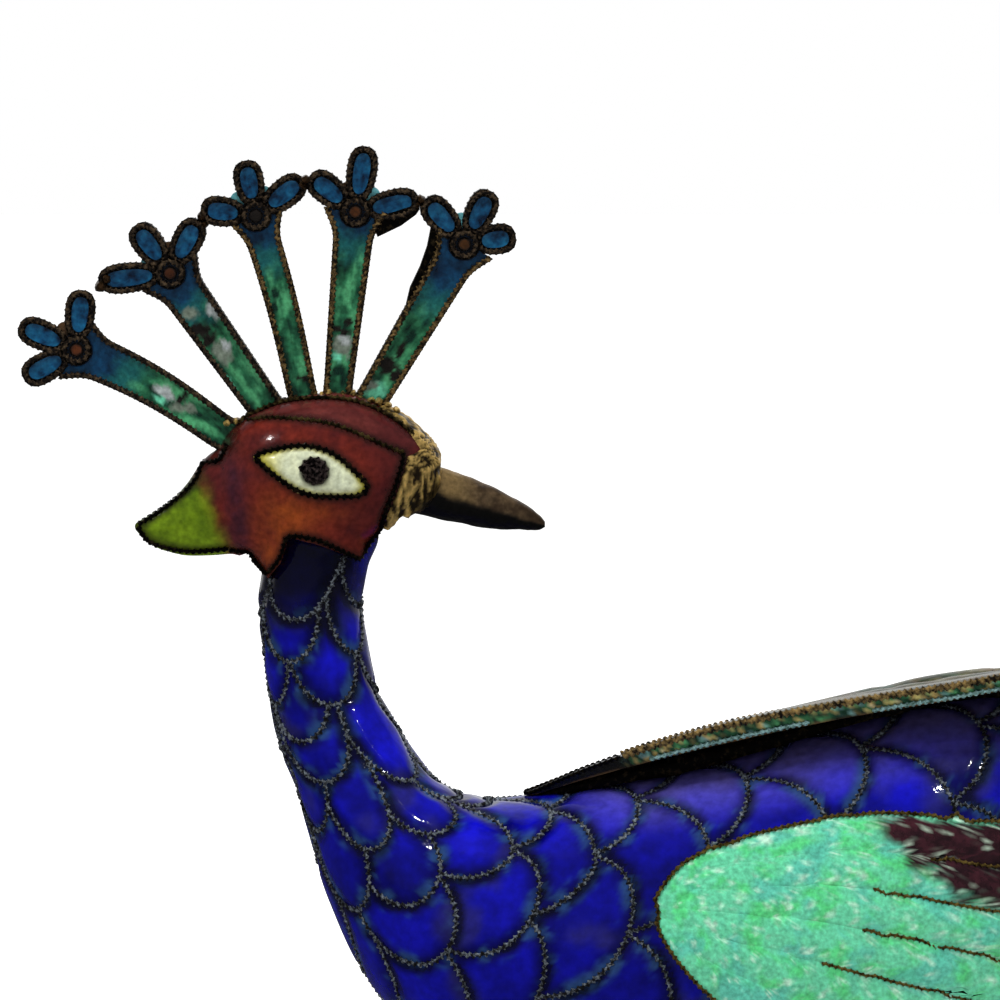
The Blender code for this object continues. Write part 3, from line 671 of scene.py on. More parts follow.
def thigh_at(hip, end, t, turn):
    """A point of a thigh's middle line at t, the way out to its skin at a turn and the radius there."""
    radius = BODY_LENGTH * (THIGH_RADIUS + (THIGH_END_RADIUS - THIGH_RADIUS) * t**THIGH_TAPER)
    out = Vector((math.cos(turn), math.sin(turn) * (THIGH_FLATNESS + (1 - THIGH_FLATNESS) * t), 0))
    return hip.lerp(end, t), out, radius


thigh_corners, thigh_faces, thigh_paths = [], [], []
for side in (-1, 1):
    hip, end = figure(*HIP), figure(HOCK_X, -THIGH_END_DROP) - Vector((0, 0, THIGH_SETTLE))
    hip.y = end.y = side * LEG_SPACING / 2
    start = len(thigh_corners)
    for r in range(THIGH_RINGS):
        t = r / (THIGH_RINGS - 1)
        past = max(0.0, (t - THIGH_ROUND_START) / (1 - THIGH_ROUND_START))
        round_off = math.sqrt(1 - past**2 * THIGH_ROUND_DEPTH)
        for k in range(THIGH_SIDES):
            centre, out, radius = thigh_at(hip, end, t, 2 * math.pi * k / THIGH_SIDES)
            thigh_corners.append(centre + out * radius * round_off)
    thigh_faces += [tuple(start + i for i in face) for face in ring_faces(THIGH_RINGS, THIGH_SIDES)]
    for level in THIGH_WIRE_LEVELS:
        path = []
        for k in range(THIGH_WIRE_STEPS + 1):
            turn = 2 * math.pi * k / THIGH_WIRE_STEPS
            t = level - THIGH_WIRE_WAVE * abs(math.sin(2.5 * turn + level * 9))
            centre, out, radius = thigh_at(hip, end, t, turn)
            path.append((*(centre + out * radius), *out))
        thigh_paths.append(path)
thighs = new_piece("thighs", thigh_corners, thigh_faces)
outwards(thighs)
paint(thighs, [cobalt_tint(v.co, 1 * MM, 1, 0) for v in thighs.data.vertices])
settle(thighs, "body", cobalt_glass)
settle(twisted_wires("thigh_wires", thigh_paths, radius=0.26 * MM), "body", grey_wire)

# Head: one raised copper shell under brick-red glass, with a lime-green flap at the nape and a pale almond
# eye on each side. Its lower edge runs down over the neck in two points, and twisted wires edge every field.
# Sections give x, the top's z, the bottom's z and the half width. Outlines are in pixels of the photograph.
HEAD_SECTIONS = (
    (-0.687, 0.690, 0.606, 0.016),
    (-0.673, 0.716, 0.598, 0.034),
    (-0.651, 0.735, 0.592, 0.047),
    (-0.621, 0.749, 0.588, 0.057),
    (-0.581, 0.757, 0.588, 0.063),
    (-0.546, 0.756, 0.592, 0.062),
    (-0.516, 0.743, 0.606, 0.055),
    (-0.491, 0.728, 0.624, 0.045),
    (-0.473, 0.711, 0.640, 0.035),
    (-0.463, 0.698, 0.656, 0.025),
)
NAPE_SECTIONS = (
    (-0.766, 0.627, 0.621, 0.004),
    (-0.750, 0.636, 0.605, 0.008),
    (-0.729, 0.650, 0.597, 0.012),
    (-0.713, 0.667, 0.594, 0.016),
    (-0.697, 0.690, 0.594, 0.022),
    (-0.679, 0.703, 0.595, 0.029),
    (-0.656, 0.709, 0.597, 0.036),
)
COLLAR = (-0.584, 0.600, 0.061, 0.110)
FACE_EDGE = (
    (-0.440, 0.660), (-0.496, 0.636), (-0.522, 0.620), (-0.534, 0.602), (-0.541, 0.592), (-0.561, 0.601),
    (-0.582, 0.609), (-0.611, 0.616), (-0.613, 0.605), (-0.618, 0.590), (-0.631, 0.574), (-0.652, 0.598),
    (-0.686, 0.584),
)
FACE_EDGE_BELOW = 0.480
HEAD_RINGS, HEAD_SIDES = 60, 96
NAPE_RINGS, NAPE_SIDES = 36, 64
HEAD_VOXEL = 0.17 * MM
HEAD_SHARP_ANGLE = math.radians(50)
EYE_BULGE = 0.22 * MM
EYE_BULGE_PIXELS = 9
CUTTER_HALF_WIDTH = 10 * MM
SOCKET_RINGS = 40
SOCKET_LENGTH = 16 * MM
SOCKET_GAP = 0.15 * MM

EYE = (
    (255, 457), (265, 452), (277, 449.5), (293, 446.5), (310, 446.5), (327, 451), (342, 460.5), (354.5, 472),
    (366, 484), (366, 490), (358, 495.5), (336, 496.5), (314.5, 495.5), (297, 490), (281, 479.5), (268, 469),
)
BROW_WIRE = (
    (247, 420), (260, 418), (272, 417.5), (293, 418.5), (314.5, 420.5), (335.5, 425), (352, 431),
    (367, 437.5), (388, 447), (404, 453),
)
RIM_WIRE = (
    (240, 424), (249, 416), (260, 411), (281, 403), (304, 399.5), (327, 398.5), (348, 400.5), (367, 405.5),
    (388, 416), (405, 428), (421, 442),
)
FRONT_WIRE = ((404, 453), (403, 460), (399, 475), (394, 490), (388, 504), (383, 517), (379, 532))
FLAP_TOP_WIRE = ((214, 436), (208, 448), (203, 463), (194.5, 481), (178, 498), (157, 513.5), (138, 525))
FLAP_LOW_WIRE = ((138, 526), (142, 533), (149, 541), (166, 547.5), (190, 551), (213, 549.5), (229, 548))
JAW_WIRE = ((229, 549), (246, 552.5), (257, 562), (268, 575))
TAB_WIRE = (
    (268, 573), (275, 564.5), (280, 558), (284, 547), (287, 536.5), (304, 537), (321, 541.5), (336, 548.5),
    (352, 556.5), (362, 559), (372, 543), (379, 530),
)
LIME_EDGE = 219
PUPIL = (315, 472)
PUPIL_TURNS = 2.6
PUPIL_STEPS = 90
PUPIL_RADIUS = 1.02 * MM
PUPIL_COILED_IN = 0.85

BRICK = (0.105, 0.012, 0.007)
MAROON = (0.042, 0.006, 0.007)
ROSE = (0.095, 0.018, 0.015)
ORANGE = (0.195, 0.038, 0.007)
DUSK = (0.030, 0.008, 0.016)
EDGE_BLACK = (0.010, 0.004, 0.003)
LIME = (0.108, 0.178, 0.006)
LIME_DEEP = (0.030, 0.055, 0.003)
EYE_WHITE = (0.500, 0.540, 0.400)
EYE_YELLOW = (0.420, 0.380, 0.060)
GLOWS = ((286, 520, 900, 900, 1.0), (270, 556, 260, 260, 0.55), (318, 512, 900, 120, 0.45))


def oval_rings(sections, rings, sides):
    """Rings of points round a row of ovals along X, given by x, top z, bottom z and half width."""
    turns = 2 * np.pi * np.arange(sides) / sides
    corners = []
    for i in range(rings):
        x, top, bottom, half_width = along(sections, i / (rings - 1))
        for a in turns:
            z = (top + bottom) / 2 + (top - bottom) / 2 * math.cos(a)
            corners.append(figure(x, z, half_width * math.sin(a)))
    return corners


def bake(made):
    """Replaces a piece's mesh by what its modifiers make of it."""
    bpy.context.view_layer.update()
    graph = bpy.context.evaluated_depsgraph_get()
    mesh = bpy.data.meshes.new_from_object(made.evaluated_get(graph))
    made.modifiers.clear()
    made.data = mesh


def points_of(made):
    """The places of a piece's points, their outward directions and the pixels at which they show."""
    spots = np.array([v.co for v in made.data.vertices])
    return spots, np.array([v.normal for v in made.data.vertices]), seen_at(spots)


def move_points(made, spots):
    """Moves a piece's points to new places."""
    made.data.vertices.foreach_set("co", spots.ravel())
    made.data.update()


def depth_in(pixels, outline):
    """How far inside a closed outline each pixel lies, and below zero outside it."""
    a = np.asarray(outline, float)
    b = np.roll(a, -1, axis=0)
    edge = b - a
    away = pixels[:, None, :] - a[None]
    share = np.clip(np.sum(away * edge, axis=2) / np.sum(edge * edge, axis=1), 0, 1)
    near = np.linalg.norm(away - share[..., None] * edge, axis=2).min(axis=1)
    x, y = pixels[:, :1], pixels[:, 1:]
    rise = np.where(b[:, 1] == a[:, 1], 1e-9, b[:, 1] - a[:, 1])
    crossed = ((a[:, 1] > y) != (b[:, 1] > y)) & (x < (b[:, 0] - a[:, 0]) * (y - a[:, 1]) / rise + a[:, 0])
    return np.where(crossed.sum(axis=1) % 2 == 1, near, -near)


head_corners = oval_rings(HEAD_SECTIONS, HEAD_RINGS, HEAD_SIDES)
head = new_piece("head_shell", head_corners, ring_faces(HEAD_RINGS, HEAD_SIDES))
nape_corners = oval_rings(NAPE_SECTIONS, NAPE_RINGS, NAPE_SIDES)
nape = new_piece("nape", nape_corners, ring_faces(NAPE_RINGS, NAPE_SIDES))
collar_x, collar_z, collar_radius, collar_depth = COLLAR
collar_corners = []
for rise in (-0.5, 0.5):
    for k in range(HEAD_SIDES):
        a = 2 * math.pi * k / HEAD_SIDES
        x, y = collar_x + collar_radius * math.cos(a), collar_radius * math.sin(a)
        collar_corners.append(figure(x, collar_z + collar_depth * rise, y))
collar = new_piece("collar", collar_corners, ring_faces(2, HEAD_SIDES))
bpy.ops.object.select_all(action="DESELECT")
for piece in (head, nape, collar):
    outwards(piece)
    piece.select_set(True)
bpy.context.view_layer.objects.active = head
bpy.ops.object.join()
remesh = head.modifiers.new("one_skin", "REMESH")
remesh.mode = "VOXEL"
remesh.voxel_size = HEAD_VOXEL
soften = head.modifiers.new("soften", "SMOOTH")
soften.factor = 0.5
soften.iterations = 8
bake(head)

head_spots, head_out, head_pixels = points_of(head)
bulge = np.clip(depth_in(head_pixels, EYE) / EYE_BULGE_PIXELS, 0, 1)
move_points(head, head_spots + head_out * (EYE_BULGE * bulge)[:, None])

edge_points = [figure(x, z) for x, z in FACE_EDGE]
edge_points += [figure(FACE_EDGE[-1][0], FACE_EDGE_BELOW), figure(FACE_EDGE[0][0], FACE_EDGE_BELOW)]
cutter_sides = (-CUTTER_HALF_WIDTH, CUTTER_HALF_WIDTH)
cutter_corners = [Vector((p.x, y, p.z)) for y in cutter_sides for p in edge_points]
cutter = new_piece("face_edge_cutter", cutter_corners, ring_faces(2, len(edge_points)))
socket_s = np.repeat(np.linspace(-0.3 * MM, SOCKET_LENGTH, SOCKET_RINGS), HEAD_SIDES)
socket_degrees = np.tile(360 * np.arange(HEAD_SIDES) / HEAD_SIDES, SOCKET_RINGS)
socket_out = skin_normals(np.maximum(socket_s, 0.3 * MM), socket_degrees)
socket_corners = skin_points(socket_s, socket_degrees) + socket_out * SOCKET_GAP
socket = new_piece("neck_socket", socket_corners, ring_faces(SOCKET_RINGS, HEAD_SIDES))
for helper in (cutter, socket):
    outwards(helper)
    cut = head.modifiers.new(helper.name, "BOOLEAN")
    cut.operation = "DIFFERENCE"
    cut.solver = "EXACT"
    cut.object = helper
bake(head)
for helper in (cutter, socket):
    bpy.data.objects.remove(helper)
head.data.shade_smooth()
head.data.set_sharp_from_angle(angle=HEAD_SHARP_ANGLE)
head_surface = BVHTree.FromObject(head, bpy.context.evaluated_depsgraph_get())
NEAR_SIDE = 2.5 * MM
SMOOTHING = np.array([1, 2, 3, 2, 1]) / 9


def smooth_pixels(pixels, step=3.0):
    """The pixels of a drawn line, a step apart, on a smooth curve through them."""
    rows = np.asarray(pixels, float)
    length = np.linalg.norm(np.diff(rows, axis=0), axis=1).sum()
    count = max(4, int(length / step))
    return np.array([along(rows, i / count) for i in range(count + 1)])


def drawn_on(surface, pixels, raised):
    """A line of the photograph laid on a surface, on the near side and its mirror image on the far side."""
    path = []
    for px, py in smooth_pixels(pixels):
        way = sight(px, py)
        hit, out = surface.ray_cast(camera_place, way)[:2]
        if hit is None or hit.y > 0:
            nearest = camera_place + way * ((CAMERA_DISTANCE - NEAR_SIDE) / way.dot(look))
            hit, out = surface.find_nearest(nearest)[:2]
        path.append((*(hit + out * raised), *out))
    path = np.array(path)
    for k in range(6):
        padded = np.concatenate(([path[0, k]] * 2, path[:, k], [path[-1, k]] * 2))
        path[:, k] = np.convolve(padded, SMOOTHING, "valid")
    return [path, path * np.array([1, -1, 1, 1, -1, 1])]


dark_lines = []
for line in (FRONT_WIRE, TAB_WIRE, JAW_WIRE, FLAP_LOW_WIRE, FLAP_TOP_WIRE):
    dark_lines += drawn_on(head_surface, line, raised=0.05 * MM)
eye_lines = drawn_on(head_surface, EYE + EYE[:1], raised=0.12 * MM)
olive_lines = drawn_on(head_surface, BROW_WIRE, raised=0.02 * MM)
olive_lines += drawn_on(head_surface, RIM_WIRE, raised=0.12 * MM)
SOOT, SOOT_WORN = (0.006, 0.005, 0.004), (0.085, 0.060, 0.030)
OLIVE, OLIVE_WORN = (0.020, 0.014, 0.006), (0.260, 0.180, 0.060)
black_wire = old_metal("black_wire", SOOT, SOOT_WORN, patch=0.5 * MM, cut=0.62)
olive_wire = old_metal("olive_wire", OLIVE, OLIVE_WORN, patch=0.6 * MM, cut=0.55)
settle(twisted_wires("head_wires", dark_lines, radius=0.26 * MM), "head", black_wire)
eye_wires = twisted_wires("eye_wires", eye_lines, radius=0.28 * MM, turn=1.05 * MM)
settle(eye_wires, "head", black_wire)
settle(twisted_wires("brow_wires", olive_lines, radius=0.24 * MM), "head", olive_wire)

pupil_hit, pupil_out = head_surface.ray_cast(camera_place, sight(*PUPIL))[:2]
pupil_side = pupil_out.cross(Vector((0, 0, 1))).normalized()
pupil_up = pupil_side.cross(pupil_out)
coil = []
for i in range(PUPIL_STEPS):
    t = i / (PUPIL_STEPS - 1)
    a = 2 * math.pi * PUPIL_TURNS * t
    radius = PUPIL_RADIUS * (1 - PUPIL_COILED_IN * t)
    spot = pupil_hit + pupil_out * (0.20 + 0.12 * t) * MM
    spot += (pupil_side * math.cos(a) + pupil_up * math.sin(a)) * radius
    coil.append((*spot, *pupil_out))
coils = [coil, np.array(coil) * np.array([1, -1, 1, 1, -1, 1])]
DUSK_METAL, DUSK_WORN = (0.010, 0.007, 0.007), (0.200, 0.150, 0.140)
pupil_wire = old_metal("pupil_wire", DUSK_METAL, DUSK_WORN, patch=0.28 * MM, cut=0.53)
pupils = twisted_wires("pupils", coils, radius=0.28 * MM, turn=1.0 * MM)
settle(pupils, "head", pupil_wire)

head_spots, head_out, head_pixels = points_of(head)
eye_depth = depth_in(head_pixels, EYE)
band_depth = depth_in(head_pixels, BROW_WIRE + RIM_WIRE[::-1])
near_lines = wire_tree(dark_lines + eye_lines + olive_lines)


def head_tint(spot, px, py, eye, band):
    """The head's glass: brick red with a rosy crown and orange glows, a lime flap, a pale eye and painted
    shade on its right side.
    """
    colour = blend(MAROON, BRICK, 1.5 * stain(spot, 2.2 * MM, 4) - 0.15)
    crown = max(smooth_step(-3, 4, band), smooth_step(420, 411, py) * smooth_step(258, 276, px))
    colour = blend(colour, blend(ROSE, MAROON, 0.8 * stain(spot, 1.5 * MM, 5)), crown)
    glow = 0.0
    for x, y, wide, high, share in GLOWS:
        glow += share * math.exp(-((px - x) ** 2 / wide + (py - y) ** 2 / high))
    colour = blend(colour, ORANGE, glow * (0.35 + 0.75 * stain(spot, 1.0 * MM, 6)))
    streak = math.exp(-((px - 236 - (py - 500) * 0.12) ** 2) / 130) * smooth_step(440, 475, py)
    colour = blend(colour, DUSK, streak * (0.5 + 0.5 * stain(spot, 0.8 * MM, 7)))
    # Painted shade: the right side of the head, towards the beak, darkened to maroon.
    right = smooth_step(360, 395, px + 12 * stain(spot, 1 * MM, 8)) * 0.7
    colour = blend(colour, MAROON, right)
    corner = smooth_step(250, 225, px) * smooth_step(470, 440, py)
    colour = blend(colour, EDGE_BLACK, corner)
    flap = smooth_step(LIME_EDGE + 14, LIME_EDGE - 12, px + 10 * stain(spot, 1.2 * MM, 9) - (py - 520) * 0.35)
    flap *= smooth_step(452, 490, py)
    lime = blend(LIME_DEEP, LIME, 1.4 * stain(spot, 1.6 * MM, 10) + 0.1 + (py - 525) * 0.014)
    colour = blend(colour, lime, flap)
    edge = near_lines.find(spot)[2]
    colour = blend(EDGE_BLACK, colour, 0.30 + 0.70 * smooth_step(0.20 * MM, 0.75 * MM, edge))
    if eye > -1:
        corner = smooth_step(290, 262, px) + smooth_step(350, 366, px)
        yellow = 0.75 * corner + 0.6 * smooth_step(6, 2, eye) + 0.2 * stain(spot, 1 * MM, 3)
        far = (Vector((spot[0], -abs(spot[1]), spot[2])) - pupil_hit).length
        pupil = smooth_step(PUPIL_RADIUS * 1.25, PUPIL_RADIUS * 0.9, far)
        colour = blend(blend(EYE_WHITE, EYE_YELLOW, yellow), EDGE_BLACK, pupil)
    return colour


head_points = zip(head_spots, *head_pixels.T, eye_depth, band_depth)
paint(head, [head_tint(*point) for point in head_points])
red_glass = painted_material(
    "red_glass", roughness=0.09, speckle=0.28, speckle_size=0.45 * MM, ripple=0.12, ripple_size=1.2 * MM
)
settle(head, "head", red_glass)
glint_light("head_lamp", [head], head_surface, 269, 437, size=0.022, watts=0.7)

# Solder: a rough gilt skin that holds the beak in the face. It lies over the front of the head, up along the
# top of the brow and down to the throat, lumpy and torn at its edges, as solder and gilding are after repair.
SOLDER = (
    (372, 398), (384, 396), (400, 405), (422, 426), (440, 446), (446, 470), (440, 500), (424, 522),
    (402, 518), (388, 534), (380, 531), (385, 515), (391, 501), (397, 487), (402, 470), (406, 455),
    (418, 449), (410, 437), (397, 423), (380, 410),
)
SOLDER_HEIGHT = 0.38 * MM
SOLDER_SINK = 0.35 * MM
SOLDER_BED = 0.10 * MM
SOLDER_EDGE_PIXELS = 5
GOLD = (0.760, 0.510, 0.160)
GOLD_SHADE = (0.020, 0.012, 0.005)

solder_faces = [list(p.vertices) for p in head.data.polygons]
solder = new_piece("beak_solder", head_spots, solder_faces)
bm = bmesh.new()
bm.from_mesh(solder.data)
for cut_place, cut_way in ((flat(371, 470), (-1, 0, 0)), (flat(380, 534), (0, 0, -1))):
    everything = bm.verts[:] + bm.edges[:] + bm.faces[:]
    bmesh.ops.bisect_plane(bm, geom=everything, plane_co=cut_place, plane_no=cut_way, clear_outer=True)
    bmesh.ops.holes_fill(bm, edges=[e for e in bm.edges if e.is_boundary])
bmesh.ops.recalc_face_normals(bm, faces=bm.faces)
bm.to_mesh(solder.data)
bm.free()
solder_spots, solder_out, solder_pixels = points_of(solder)
cover = np.clip((depth_in(solder_pixels, SOLDER) + 1) / SOLDER_EDGE_PIXELS, 0, 1)
lumps = np.array([stain(p, 0.75 * MM, 11) for p in solder_spots])
flow = np.radians(np.interp(solder_pixels[:, 1], (438, 468), (40, 98)))
flow_along = solder_pixels[:, 0] * np.cos(flow) + solder_pixels[:, 1] * np.sin(flow)
flow_across = solder_pixels[:, 1] * np.cos(flow) - solder_pixels[:, 0] * np.sin(flow)
flow_spots = zip(flow_across * PIXEL, flow_along * PIXEL * 0.30, solder_spots[:, 1] * 0.4)
fine = np.array([stain(p, 0.34 * MM, 12) for p in flow_spots])
height = cover * SOLDER_HEIGHT * (0.45 + 0.4 * lumps + 0.6 * fine) - (1 - cover) * SOLDER_SINK - SOLDER_BED
move_points(solder, solder_spots + solder_out * height[:, None])
solder_colours = []
for i, (px, py) in enumerate(solder_pixels):
    colour = blend(GOLD_SHADE, GOLD, 4.4 * (lumps[i] * 0.35 + fine[i] * 0.75) - 2.05)
    # Painted shade: the solder's lower right, under the beak, goes nearly black.
    below = smooth_step(-3, 6, py - 478 + 1.15 * (px - 437))
    solder_colours.append(blend(colour, GOLD_SHADE, 0.85 * below))
paint(solder, solder_colours)
rough_gold = painted_material(
    "rough_gold", roughness=0.28, speckle=0.30, speckle_size=0.30 * MM, ripple=0.35, ripple_size=0.50 * MM,
    metallic=0.65,
)
settle(solder, "head", rough_gold)

# Beak: a hollow bronze cone, hammered almost flat above, with painted shade that turns it nearly black below.
# Its open end sits inside the head's front, and the solder around it holds it there.
BEAK_SECTIONS = (
    (-0.492, 0.664, 0.0265, 0.0260),
    (-0.460, 0.657, 0.0262, 0.0250),
    (-0.440, 0.652, 0.0250, 0.0235),
    (-0.420, 0.646, 0.0230, 0.0210),
    (-0.400, 0.6405, 0.0195, 0.0180),
    (-0.380, 0.6345, 0.0145, 0.0135),
    (-0.362, 0.628, 0.0085, 0.0080),
    (-0.355, 0.6255, 0.0030, 0.0030),
)
BRONZE = (0.050, 0.030, 0.016)
BRONZE_WORN = (0.135, 0.088, 0.046)
BRONZE_ROOT = (0.310, 0.205, 0.080)
BRONZE_SHADOW = (0.006, 0.005, 0.004)
BEAK_RINGS = 70
BEAK_SIDES = 56
BEAK_DENTS = 0.16 * MM
FLANK_PLACE = 0.60 * math.pi
FLANK_WIDTH = 0.30
FLANK_DEPTH = 0.10

beak_corners, beak_colours = [], []
for i in range(BEAK_RINGS):
    x, z, half_height, half_width = along(BEAK_SECTIONS, i / (BEAK_RINGS - 1))
    for k in range(BEAK_SIDES):
        a = 2 * math.pi * k / BEAK_SIDES
        up, side = math.cos(a), math.sin(a)
        flank = 1 - FLANK_DEPTH * math.exp(-(((abs(a - math.pi) - FLANK_PLACE) / FLANK_WIDTH) ** 2))
        spot = figure(x, z + half_height * up * flank, half_width * side * flank)
        dents = (stain(spot, 1.6 * MM, 13) - 0.5) * BEAK_DENTS
        spot += Vector((0, side, up)) * dents
        beak_corners.append(spot)
        worn = blend(BRONZE, BRONZE_WORN, 2.2 * stain(spot, 0.7 * MM, 14) - 0.6)
        worn = blend(worn, BRONZE_ROOT, smooth_step(-0.415, -0.452, x) * 0.8)
        worn = blend(worn, BRONZE, smooth_step(-0.400, -0.365, x) * 0.8)
        # Painted shade: the beak goes black where it faces down.
        turned_up = up + 0.25 * (stain(spot, 1.2 * MM, 15) - 0.5) + 0.25 * (x + 0.47) / 0.11
        below = smooth_step(-0.05, 0.22, turned_up)
        beak_colours.append(blend(BRONZE_SHADOW, worn, below))
beak = new_piece("beak_cone", beak_corners, ring_faces(BEAK_RINGS, BEAK_SIDES))
outwards(beak)
paint(beak, beak_colours)
bronze = painted_material(
    "bronze", roughness=0.42, speckle=0.25, speckle_size=0.30 * MM, ripple=0.35, ripple_size=0.5 * MM,
    metallic=0.55,
)
settle(beak, "beak", bronze)

# Crest: five flat plumes, each a frame of copper strip edged with twisted wire on both faces and filled with
# mottled green glass. Three blue petals and a small boss end each plume, and solder joins petals that touch.
STILL = Matrix.Identity(4)
SHARP_EDGE = math.radians(60)

# Each row gives the root, the boss, the bow to the left, the widths at root and top, the lean, and the
# petals' turns and lengths.
PLUMES = (
    (-0.681, 0.720, -0.823, 0.800, -0.006, 0.037, 0.049, 3.0, ((6, 0.063), (58, 0.061), (-66, 0.061))),
    (-0.638, 0.749, -0.729, 0.877, 0.000, 0.037, 0.048, -2.0, ((61, 0.073), (1, 0.060), (-63, 0.061))),
    (-0.599, 0.762, -0.644, 0.934, -0.003, 0.031, 0.038, 2.0, ((68, 0.056), (-4, 0.057), (-67, 0.061))),
    (-0.561, 0.770, -0.544, 0.938, 0.000, 0.030, 0.046, -2.0, ((57, 0.059), (-3, 0.067), (-73, 0.065))),
    (-0.524, 0.758, -0.436, 0.906, 0.000, 0.034, 0.046, 3.0, ((71, 0.060), (4, 0.060), (-51, 0.053))),
)
GREEN = (0.014, 0.110, 0.048)
GREEN_LIGHT = (0.060, 0.290, 0.125)
GREEN_DARK = (0.002, 0.020, 0.012)
TURQUOISE = (0.110, 0.480, 0.300)
PETAL_BLUE = (0.002, 0.048, 0.122)
PETAL_LIGHT = (0.005, 0.085, 0.180)
PETAL_DARK = (0.001, 0.008, 0.026)
PALE_TURQUOISE = (0.110, 0.360, 0.400)
TEAL = (0.006, 0.085, 0.085)
CHIP_WHITE = (0.300, 0.330, 0.330)
CHIP_GREY = (0.130, 0.160, 0.125)
BARE_BLACK = (0.008, 0.006, 0.005)
BARE_BROWN = (0.060, 0.030, 0.012)
RUST = (0.300, 0.085, 0.012)
BOSS_COLOURS = (
    (0.070, 0.018, 0.005), (0.042, 0.012, 0.004), BARE_BLACK, (0.052, 0.016, 0.004), (0.050, 0.018, 0.004),
)

# The worn and chipped patches of each plume: pixel, radii, turn and colour. On the first plume, the turquoise
# patch at (160, 399) is a painted highlight.
DAMAGE = (
    ((165, 392, 10, 7, 30, CHIP_WHITE), (160, 399, 7, 4, 30, TURQUOISE), (182, 398, 4, 11, 40, BARE_BLACK),
     (176, 408, 8, 5, 20, CHIP_GREY), (190, 408, 6, 6, 0, CHIP_GREY)),
    ((214, 309, 7, 9, -30, CHIP_WHITE), (199, 331, 10, 9, 0, BARE_BLACK), (209, 341, 9, 5, -40, BARE_BLACK),
     (222, 352, 13, 9, 55, CHIP_GREY), (226, 346, 6, 4, 50, CHIP_WHITE), (189, 314, 8, 6, 0, CHIP_GREY),
     (229, 385, 9, 5, 60, TURQUOISE)),
    ((275, 294, 4, 6, 0, GREEN_DARK), (272, 309, 5, 8, 0, GREEN_DARK), (305, 378, 11, 3, 5, BARE_BLACK)),
    ((343, 346, 10, 12, 0, CHIP_GREY), (344, 340, 6, 5, 30, CHIP_WHITE), (339, 330, 12, 4, 20, BARE_BLACK),
     (349, 322, 5, 4, 0, BARE_BLACK), (337, 357, 8, 4, 30, TURQUOISE), (338, 371, 7, 6, 0, GREEN_DARK)),
    ((388, 364, 10, 9, 0, BARE_BLACK), (396, 376, 8, 5, -50, BARE_BLACK), (401, 350, 4, 12, 25, BARE_BLACK),
     (372, 391, 14, 9, 0, TURQUOISE), (369, 385, 8, 5, 0, CHIP_GREY), (411, 338, 4, 10, 30, GREEN_DARK)),
)
ROOT_DEPTH = 0.016
PETAL_START = 0.010
PETAL_HALF_WIDTH = 0.0170
PETAL_SQUARENESS = 2.5
PETAL_STEPS = 44
PETAL_TAPER = 0.16
PLUME_STEPS = 60
PLUME_COLUMNS = 12
STEM_GLASS_INSET = 0.40 * MM
STRIP_OUTER, STRIP_INNER = 0.05 * MM, 0.45 * MM
PETAL_OUTER, PETAL_INNER, PETAL_GLASS_INSET = 0.06 * MM, 0.60 * MM, 0.52 * MM
FILL_PLACE, FILL_RADIUS, FILL_STEPS = 1.75 * MM, 0.62 * MM, 16
BOSS_DISC, BOSS_OUTER, BOSS_INNER = 1.25 * MM, 1.18 * MM, 0.82 * MM
BOSS_HALF_DEPTH = 0.80 * MM
BOSS_RING = 0.90 * MM
BOSS_CORE = 0.38 * MM
FRAME_DEPTH = 0.50 * MM
GLASS_DEPTH = 0.42 * MM
GLASS_DISH = 0.10 * MM
RIM_WIRE_RADIUS = 0.28 * MM
RIM_WIRE_TURN = 0.85 * MM
RIM_INSET = 0.28 * MM
FLARE_START, FLARE_END = 0.80, 1.06
FLARE_WIDTH = 0.026
PETAL_GLASS_DEPTH = 0.47 * MM
BLUE_START = (0.70, 0.76, 0.78, 0.84, 0.66)
# Black slabs that stand in for petal side walls in shade on plumes 4 and 5: painted shade.
SHADED_SIDE_WALLS = {
    4: ((375, 218), (416, 205), (420, 209), (416, 215), (401, 226), (378, 237), (375, 229)),
    5: (
        (431, 226), (444, 229), (440, 242), (427, 266), (415, 290), (406, 304), (410, 287), (420, 266),
        (427, 246),
    ),
}


class Parts:
    """Corners, faces and colours that are gathered from several small forms for one piece."""

    def __init__(self):
        self.corners, self.faces, self.colours = [], [], []

    def add(self, corners, faces, colours):
        """Adds a form with a colour for each of its corners."""
        start = len(self.corners)
        self.corners += list(corners)
        self.faces += [tuple(start + i for i in face) for face in faces]
        self.colours += list(colours)

    def add_plain(self, form, shade, place=STILL):
        """Adds a form in one colour, moved to its place."""
        corners, faces = form
        self.add([place @ c for c in corners], faces, [shade] * len(corners))

    def piece(self, name):
        """One painted piece of all the forms."""
        made = new_piece(name, self.corners, self.faces)
        outwards(made)
        made.data.set_sharp_from_angle(angle=SHARP_EDGE)
        paint(made, self.colours)
        return made


def grid_rim(rows, columns):
    """The numbers of the points round the edge of a grid, in order."""
    rim = list(range(columns)) + [r * columns + columns - 1 for r in range(1, rows)]
    rim += [(rows - 1) * columns + c for c in range(columns - 2, -1, -1)]
    return rim + [r * columns for r in range(rows - 2, 0, -1)]


